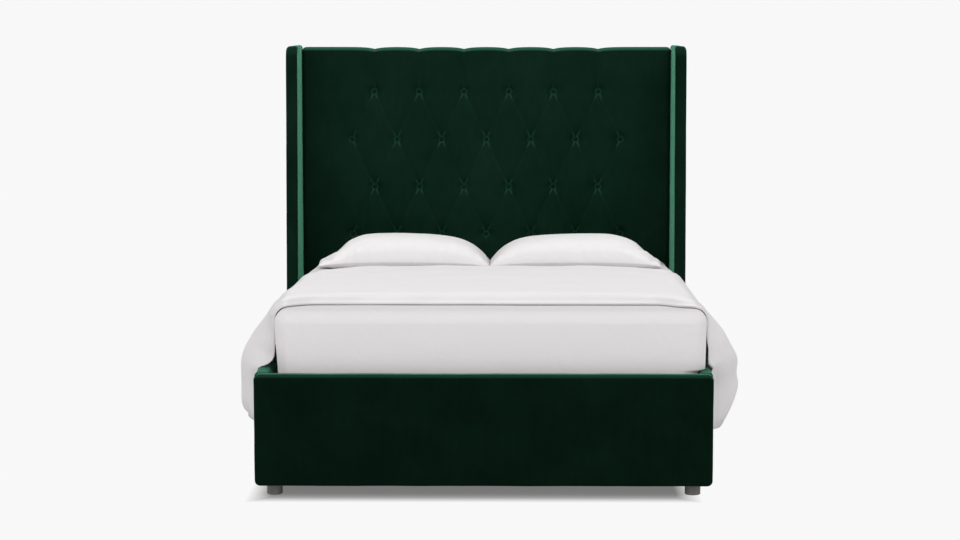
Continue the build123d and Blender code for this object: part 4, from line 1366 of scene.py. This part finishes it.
# %% Where the duvet has settled
rail_outer_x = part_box("side_rail_cover_right")[1].x
middle_lift = duvet_thickness / 2


def settled_path():
    """Middle line of the duvet at its front corners: down the mattress, over the rail and down beside it."""
    corner_z = duvet_rest_z - edge_bend
    bend_radius = edge_bend + middle_lift
    turn = np.linspace(0, math.pi / 2, 10)
    bend = np.stack([mattress_edge_x + bend_radius * np.sin(turn), corner_z + bend_radius * np.cos(turn)], axis=1)
    side_x = mattress_edge_x + bend_radius + 0.0015
    outer_x = rail_outer_x + middle_lift + 0.007
    down = np.array([
        (side_x, rail_top_z + 0.060), (side_x + 0.003, rail_top_z + 0.036), (side_x + 0.016, rail_top_z + 0.022),
        (outer_x - 0.020, rail_top_z + 0.015), (outer_x - 0.005, rail_top_z - 0.004),
        (outer_x - 0.001, rail_top_z - 0.035), (outer_x, rail_top_z - 0.10), (outer_x, 0.10),
    ])
    path = np.concatenate([bend, down])
    for _ in range(2):
        cut = np.stack([0.75 * path[:-1] + 0.25 * path[1:], 0.25 * path[:-1] + 0.75 * path[1:]], axis=1)
        path = np.concatenate([path[:1], cut.reshape(-1, 2), path[-1:]])
    return path


settled = settled_path()
settled_steps = np.diff(settled, axis=0)
settled_length = np.concatenate([[0], np.cumsum(np.hypot(*settled_steps.T))])
settled_angle = np.arctan2(settled_steps[:, 0], -settled_steps[:, 1])
settled_angle = np.concatenate([settled_angle[:1], settled_angle])


def settled_side(distance):
    """A point and its outward direction at a distance from the middle, where the duvet has settled."""
    after_top = np.maximum(distance - mattress_edge_x, 0) * 0.97
    x = np.where(distance < mattress_edge_x, distance, np.interp(after_top, settled_length, settled[:, 0]))
    z = np.where(distance < mattress_edge_x, settled[0, 1], np.interp(after_top, settled_length, settled[:, 1]))
    angle = np.interp(after_top, settled_length, settled_angle)
    return x, z, np.where(distance < mattress_edge_x, math.pi / 2, angle)


print("settled side:", round(float(settled_length[-1]), 3), "m of path")

# %% [markdown]
# ## Swelling
# Filling pushes the fabric of a duvet or a pillow out between its seams. Noise alone looks lumpy, so the closed
# case swells for a few frames as cloth under pressure. Gravity is off, the seam is held, and no point may go
# further than a cap, so the form stays the drawn one and comes out the same each time.


# %% Swelling
fabric_stiffness = 15.0


def swell(piece, pressure, frames, cap, seam):
    """Let the fabric of a closed piece swell like a filled case. Its seam stays, and no point passes the cap."""
    scene = bpy.context.scene
    before = points_of(piece.data)
    held = piece.vertex_groups.new(name="seam")
    held.add([int(index) for index in np.nonzero(seam)[0]], 1.0, "REPLACE")
    cloth = piece.modifiers.new("swell", "CLOTH")
    cloth.settings.vertex_group_mass = "seam"
    cloth.settings.use_pressure = True
    cloth.settings.uniform_pressure_force = pressure
    cloth.settings.effector_weights.gravity = 0
    cloth.settings.tension_stiffness = fabric_stiffness
    cloth.settings.compression_stiffness = fabric_stiffness
    cloth.settings.shear_stiffness = 5
    cloth.settings.bending_stiffness = 0.5
    cloth.settings.quality = 5
    cloth.collision_settings.use_collision = False
    for number in range(1, frames + 1):
        scene.frame_set(number)
    graph = bpy.context.evaluated_depsgraph_get()
    swollen = piece.evaluated_get(graph)
    after = points_of(swollen.to_mesh())
    swollen.to_mesh_clear()
    piece.modifiers.remove(cloth)
    scene.frame_set(1)
    moved = after - before
    reach = np.linalg.norm(moved, axis=1, keepdims=True)
    share = np.minimum(1, cap / np.maximum(reach, 1e-9))
    put_points(piece.data, before + moved * share)
    print(piece.name, "swelled by up to", round(float(reach.max()) * 1000, 1), "mm")


print("duvet and pillows will swell")

# %% [markdown]
# ## Shaping the duvet
# A flat grid in two layers is the duvet before it is laid on the bed. Each point knows its distance from the middle
# and its place along the duvet, and the two profiles say where it goes. Thickness, folds and bulges are added along
# the outward direction, so that the layers never cross.


# %% Two layers of the duvet
def two_layers(x_steps, y_steps):
    """A flat grid in two layers that are joined along their rim, as a case is along its seams."""
    bm = bmesh.new()
    bmesh.ops.create_grid(bm, x_segments=x_steps, y_segments=y_steps, size=1)
    copied = bmesh.ops.duplicate(bm, geom=bm.verts[:] + bm.edges[:] + bm.faces[:])
    lower_points = [item for item in copied["geom"] if isinstance(item, bmesh.types.BMVert)]
    bmesh.ops.translate(bm, vec=(0, 0, -0.01), verts=lower_points)
    bmesh.ops.bridge_loops(bm, edges=[edge for edge in bm.edges if edge.is_boundary])
    return bm


duvet_step = 0.0125
near_bend, far_bend = edge_bend + middle_lift, knee_radius + middle_lift
side_reach = mattress_edge_x + near_bend * (math.pi / 2 - flare) + duvet_slope + far_bend * flare
knee_drop_z = (
    duvet_rest_z - edge_bend + near_bend * math.sin(flare)
    - duvet_slope * math.cos(flare) - far_bend * math.sin(flare)
)
half_reach = side_reach + knee_drop_z - hem_z
bm = two_layers(round(2 * half_reach / duvet_step), round(duvet_length / duvet_step))
duvet = make_piece("duvet_filled", bm, "duvet", duvet_cotton, ["duvet"])

grid = points_of(duvet.data)
is_lower = grid[:, 2] < -0.005
along = (duvet_start_y + duvet_end_y) / 2 + grid[:, 1] * duvet_length / 2
distance = np.abs(grid[:, 0]) * half_reach
is_left = grid[:, 0] < 0
print("the duvet reaches", round(half_reach, 3), "m from its middle to each hem")

# %% Thickness of the duvet
swing = np.where(is_left, fold_share(along, folds_left), fold_share(along, folds_right))
front_bulge_y = -0.62
front_bulge = 0.03 * np.exp(-(((along - front_bulge_y) / 0.22) ** 2))
side_bulge = np.where(is_left, 0.006, 0.012 + front_bulge)
settle = 1 - ease((along - duvet_start_y - np.where(is_left, 0.005, -0.02)) / np.where(is_left, 0.24, 0.19))
slope = duvet_slope + swing * fold_depth + side_bulge
edge_side = half_reach - distance
edge_end = np.minimum(along - duvet_start_y, duvet_end_y - along)
edge = np.minimum(edge_side, edge_end)
full = np.sqrt(np.clip(1 - (1 - np.clip((edge - 0.016) / 0.05, 0, 1)) ** 2, 0, 1))
stitch = 0.04 * np.exp(-(((edge - 0.014) / 0.005) ** 2))
lumps_at = np.stack([grid[:, 0] * half_reach, along, np.zeros_like(along)], axis=1)
lumps = 0.12 * ripple(lumps_at, (0.17, 0.15, 1), 2.2)
thickness = duvet_thickness * np.clip(0.11 + 0.89 * full - stitch + lumps * full, 0.09, 1.1)
thin = np.where(is_left, 0.55, 0.2) * ease((along + 0.50) / 0.35) * np.exp(-(((distance - 0.79) / 0.11) ** 2))
thickness *= 1 - thin
crown = 0.006 * np.cos(np.clip(distance / mattress_edge_x, 0, 1) * math.pi / 2) * full
lift = np.where(is_lower, 0, thickness + crown)
print("thickness from", round(float(thickness.min()) * 1000, 1), "to", round(float(thickness.max()) * 1000, 1), "mm")

# %% Sides of the duvet
x, z, angle = duvet_side(distance, slope, middle_lift)
x_settled, z_settled, angle_settled = settled_side(distance)
bulge = np.where(is_left, -left_draw, np.where(is_lower, right_bulge, 0.35 * right_bulge))
near_shoulder = ease((distance - mattress_edge_x + 0.03) / 0.05)
lean = bulge * near_shoulder * ease((z_settled - rail_top_z + 0.01) / 0.05)
x += (x_settled + lean - x) * settle
x += bulge * near_shoulder * (1 - ease((distance - 0.84) / 0.14)) * (1 - settle)
z += (z_settled - z) * settle
low_down = ease((distance - half_reach + 0.30) / 0.30)
longer_left = 0.014 * np.exp(-(((along + 0.75) / 0.30) ** 2))
longer = np.where(is_left, longer_left, 0.028 * (1 - ease((along + 0.80) / 0.08)))
raised_hem = 0.080
shorter = np.where(is_left, 0, raised_hem) * ease((along + 0.80) / 0.10) * (1 - ease((along + 0.30) / 0.40))
z += (shorter - longer) * low_down
near_front = np.exp(-(((along - front_bulge_y) / 0.26) ** 2))
below_bend = 0.018 * (1 - ease((z - 0.48) / 0.12)) + 0.014 * np.exp(-(((z - 0.52) / 0.06) ** 2))
below_bend += 0.016 * ease((0.40 - z) / 0.10)
shoulder = np.where(is_left, 0.003, below_bend) * near_front
x += shoulder * (distance > mattress_edge_x) * (1 - 0.8 * settle)
angle += (angle_settled - angle) * settle
print("lowest point of the middle line:", round(float(z.min()), 3), "m")

# %% Folds and hem of the duvet
out_x, out_z = np.cos(angle), np.sin(angle)
hang = ease((distance - mattress_edge_x - 0.05) / 0.35) * (1 - 0.85 * settle)
drape_at = np.stack([distance, along, np.where(is_left, 0.0, 5.0)], axis=1)
drape = ripple(drape_at, (0.42, 0.085, 1), 4.4) * 0.006 * hang + ripple(drape_at, (0.5, 0.16, 1), 7.7) * 0.009 * hang
top_folds = 0.0016 * np.maximum(ripple(drape_at, (0.30, 0.10, 1), 12.0), 0) * (1 - hang)
rise = lift - middle_lift + drape + top_folds
x = np.where(is_left, -1, 1) * (x + out_x * rise)
z = z + out_z * rise
z += 0.012 * ripple(lumps_at, (1, 0.22, 1), 15.0) * ease((distance - half_reach + 0.35) / 0.35)
hem_wave = 0.004 * ripple(lumps_at, (0.25, 1, 1), 21.0) * ease(1 - edge_end / 0.08)
forward = np.where(is_left, 0.07, 0.09) * ease((distance - 0.62) / 0.12) * (1 - ease((distance - 0.95) / 0.15))
forward *= 1 - ease((along - duvet_start_y) / 0.30)
middle_drawn = 0.13
back = (middle_drawn + np.where(is_left, 0.12, 0.05) * ease((distance - 0.42) / 0.36)) * ease((along + 0.25) / 0.594)
along = along + hem_wave - forward - back
put_points(duvet.data, np.stack([x, along, z], axis=1))
swell(duvet, pressure=1.6, frames=12, cap=0.005, seam=edge < 0.001)

# %% [markdown]
# ## Room between the duvet and the bed
# Cloth can't pass through a mattress or a rail. Collisions could be simulated, but the bed's shape is simple: a
# point that ended up inside moves out to the nearest surface. At the front the hem also hugs the mattress, and both
# layers move by the same amount, so the duvet keeps its thickness.

# %% Keep the duvet off the mattress
places = points_of(duvet.data)
reach = np.abs(places[:, 0])
layer_gap = 0.007
gap = np.where(is_lower, 0.0, layer_gap)
side_shift = np.where(places[:, 0] > 0, right_bulge, -left_draw)
bend_x, bend_z = mattress_edge_x + side_shift, duvet_rest_z - edge_bend
on_top = reach < bend_x
places[:, 2] = np.where(on_top, np.maximum(places[:, 2], duvet_rest_z + gap - head_sag(places[:, 1])), places[:, 2])
on_bend = ~on_top & (places[:, 2] > bend_z)
from_bend = np.hypot(reach - bend_x, places[:, 2] - bend_z)
push = np.where(on_bend, np.maximum((edge_bend + gap) / np.maximum(from_bend, 1e-6), 1), 1)
reach = np.where(on_bend, bend_x + (reach - bend_x) * push, reach)
places[:, 2] = np.where(on_bend, bend_z + (places[:, 2] - bend_z) * push, places[:, 2])
beside = ~on_top & (places[:, 2] <= bend_z) & (places[:, 2] > rail_top_z)
side_limit = sheet_high.x + 0.0012 + side_shift
reach = np.where(beside, np.maximum(reach, side_limit + gap), reach)
hug = (1 - ease((places[:, 1] + 0.84) / 0.14)) * ease((places[:, 2] - 0.50) / 0.06) * is_lower
slack = hug * np.where(beside, reach - side_limit, 0)
half_count = len(reach) // 2
reach[:half_count] -= slack[half_count:]
reach[half_count:] -= slack[half_count:]
reach = np.where(beside, np.maximum(reach, side_limit + gap), reach)
print("the hem comes closer to the mattress by up to", round(float(slack.max()) * 1000, 1), "mm")

# %% Keep the duvet off the rails
rail_gap = 0.003
to_side = rail_outer_x + rail_gap - reach
to_top = rail_top_z + rail_gap - places[:, 2]
in_rail = (to_side > 0) & (to_top > 0) & ~on_top
reach = np.where(in_rail & (to_side <= to_top), rail_outer_x + rail_gap, reach)
places[:, 2] = np.where(in_rail & (to_side > to_top), rail_top_z + rail_gap, places[:, 2])
places[:, 0] = np.sign(places[:, 0]) * reach
put_points(duvet.data, places)
print("points moved off the rails:", int(in_rail.sum()))

# %% [markdown]
# ## Pillows
# Two plump pillows lie side by side: full in the middle, thin at their outer side seams, with corners that stand
# out. A pillow could be blown up from a flat case, but its outline would then shrink by a hand's width. Here the
# fullness is a function of the place on the case, with a short swelling at the end for the tension of the cloth.


# %% Pillow case
def pillow_case(side):
    """Two layers of cloth, joined along their four seams."""
    return make_piece(
        f"pillow_plump_{side}", two_layers(x_steps=84, y_steps=58), f"pillow_{side}",
        pillow_cotton, [f"pillow_{side}"],
    )


pillows = {side: pillow_case(side) for side in ("left", "right")}
print("cases:", len(pillows))

# %% Fullness of a pillow
flap_share = {"left": (0.10, 0.43), "right": (0.06, 0.44)}


def pillow_fullness(a, b, side, sign):
    """How full a pillow is: 1 in its middle, 0 at its seams, and thin for a while along its outer side."""
    flat_share, rise_share = flap_share[side]
    flap = ease((1 - np.abs(a) - flat_share) / rise_share)
    plump = 1 - np.abs(a) ** 4.7
    full_x = np.where(a * sign > 0, flap, plump)
    full_y = (1 - np.abs(b) ** 2.6) ** 0.66
    return full_x * full_y


def corner_fold(x, y, half_x, half_y):
    """1 along a short fold in the case, across the outer front corner of a pillow."""
    start, end = np.array([0.95 * half_x, -0.30 * half_y]), np.array([0.64 * half_x, -0.84 * half_y])
    along = (end - start) / np.linalg.norm(end - start)
    share = ((x - start[0]) * along[0] + (y - start[1]) * along[1]) / np.linalg.norm(end - start)
    away = (x - start[0]) * along[1] - (y - start[1]) * along[0]
    width = np.where(away > 0, 0.005, 0.024)
    return np.exp(-((away / width) ** 2)) * ease(share / 0.3) * ease((1 - share) / 0.3)


print("fullness in the middle:", pillow_fullness(np.zeros(1), np.zeros(1), "left", -1)[0])


# %% Outline of a pillow
def pillow_outline(a, b, low, high, sign):
    """Where the points of a case lie, seen from above: its outer end is round, its outer front corner drawn in."""
    middle_x, middle_y = (low.x + high.x) / 2, (low.y + high.y) / 2
    half_x, half_y = (high.x - low.x) / 2, (high.y - low.y) / 2
    inner = np.clip(-a * sign, 0, 1)
    outer = np.clip(a * sign, 0, 1)
    round_end = 0.020 * (1 - b**4) + 0.068 * ease((0.3 - b) / 1.3)
    x = middle_x + a * half_x * (1 - round_end * outer**3) - sign * 0.0026 * inner**6
    y = middle_y + b * half_y * (1 - 0.045 * (1 - a**4) * np.abs(b))
    return x, y, half_x, half_y


pillow_gap = 0.0008


def pillow_rest_z(y):
    """Height at which a pillow rests on the sheet."""
    return sheet_high.z + pillow_gap - head_sag(y)


print("a pillow's head end lies", round(float(head_sag(0.89)) * 1000, 1), "mm lower than the duvet")

# %% Shape both pillows
for side, sign in (("left", -1), ("right", 1)):
    low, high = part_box(f"pillow_{side}")
    pillow = pillows[side]
    grid = points_of(pillow.data)
    is_lower = grid[:, 2] < -0.005
    a, b = grid[:, 0], grid[:, 1]
    full = pillow_fullness(a, b, side, sign)
    x, y, half_x, half_y = pillow_outline(a, b, low, high, sign)
    rest_z = pillow_rest_z(y)
    seam_z = rest_z + 0.028 - 0.016 * np.abs(a) ** 3 - 0.009 * ((b + 1) / 2) ** 2
    at = np.stack([x, y, np.zeros_like(x)], axis=1)
    edge = np.minimum((1 - np.abs(a)) * half_x, (1 - np.abs(b)) * half_y)
    pucker = 0.0030 * ripple(at, (0.035, 0.035, 1), 3.3 * sign) * np.exp(-edge / 0.05) * ease(edge / 0.01)
    pucker += 0.0040 * ripple(at, (0.026, 0.11, 1), 8.8 * sign) * ease((-0.25 - b) / 0.4) * ease(edge / 0.01)
    dents = 0.0036 * ripple(at, (0.21, 0.16, 1), 6.6 * sign) + 0.0014 * ripple(at, (0.09, 0.06, 1), 1.1 + sign)
    arch = 1 - 0.045 * (1 - np.cos(np.clip(a * 1.2, -1, 1) * math.pi)) / 2
    over = seam_z + 0.0016 + (high.z - 0.013 - seam_z) * full * arch + pucker + dents * full
    over += 0.014 * corner_fold(a * sign * half_x, b * half_y, half_x, half_y)
    rounded = 0.010 * (1 - np.exp(-edge / 0.010))
    over += rounded * (1 - full)
    under = seam_z - 0.0016 - 0.030 * full**0.5 - rounded
    z = np.where(is_lower, under, over)
    put_points(pillow.data, np.stack([x, y, np.clip(z, rest_z, high.z + 0.002)], axis=1))
    swell(pillow, pressure=3.0, frames=16, cap=0.008, seam=edge < 0.001)
    places = points_of(pillow.data)
    places[:, 2] = np.maximum(places[:, 2], pillow_rest_z(places[:, 1]))
    put_points(pillow.data, places)
    print(pillow.name, "rises to", round(float(places[:, 2].max()), 4), "m")
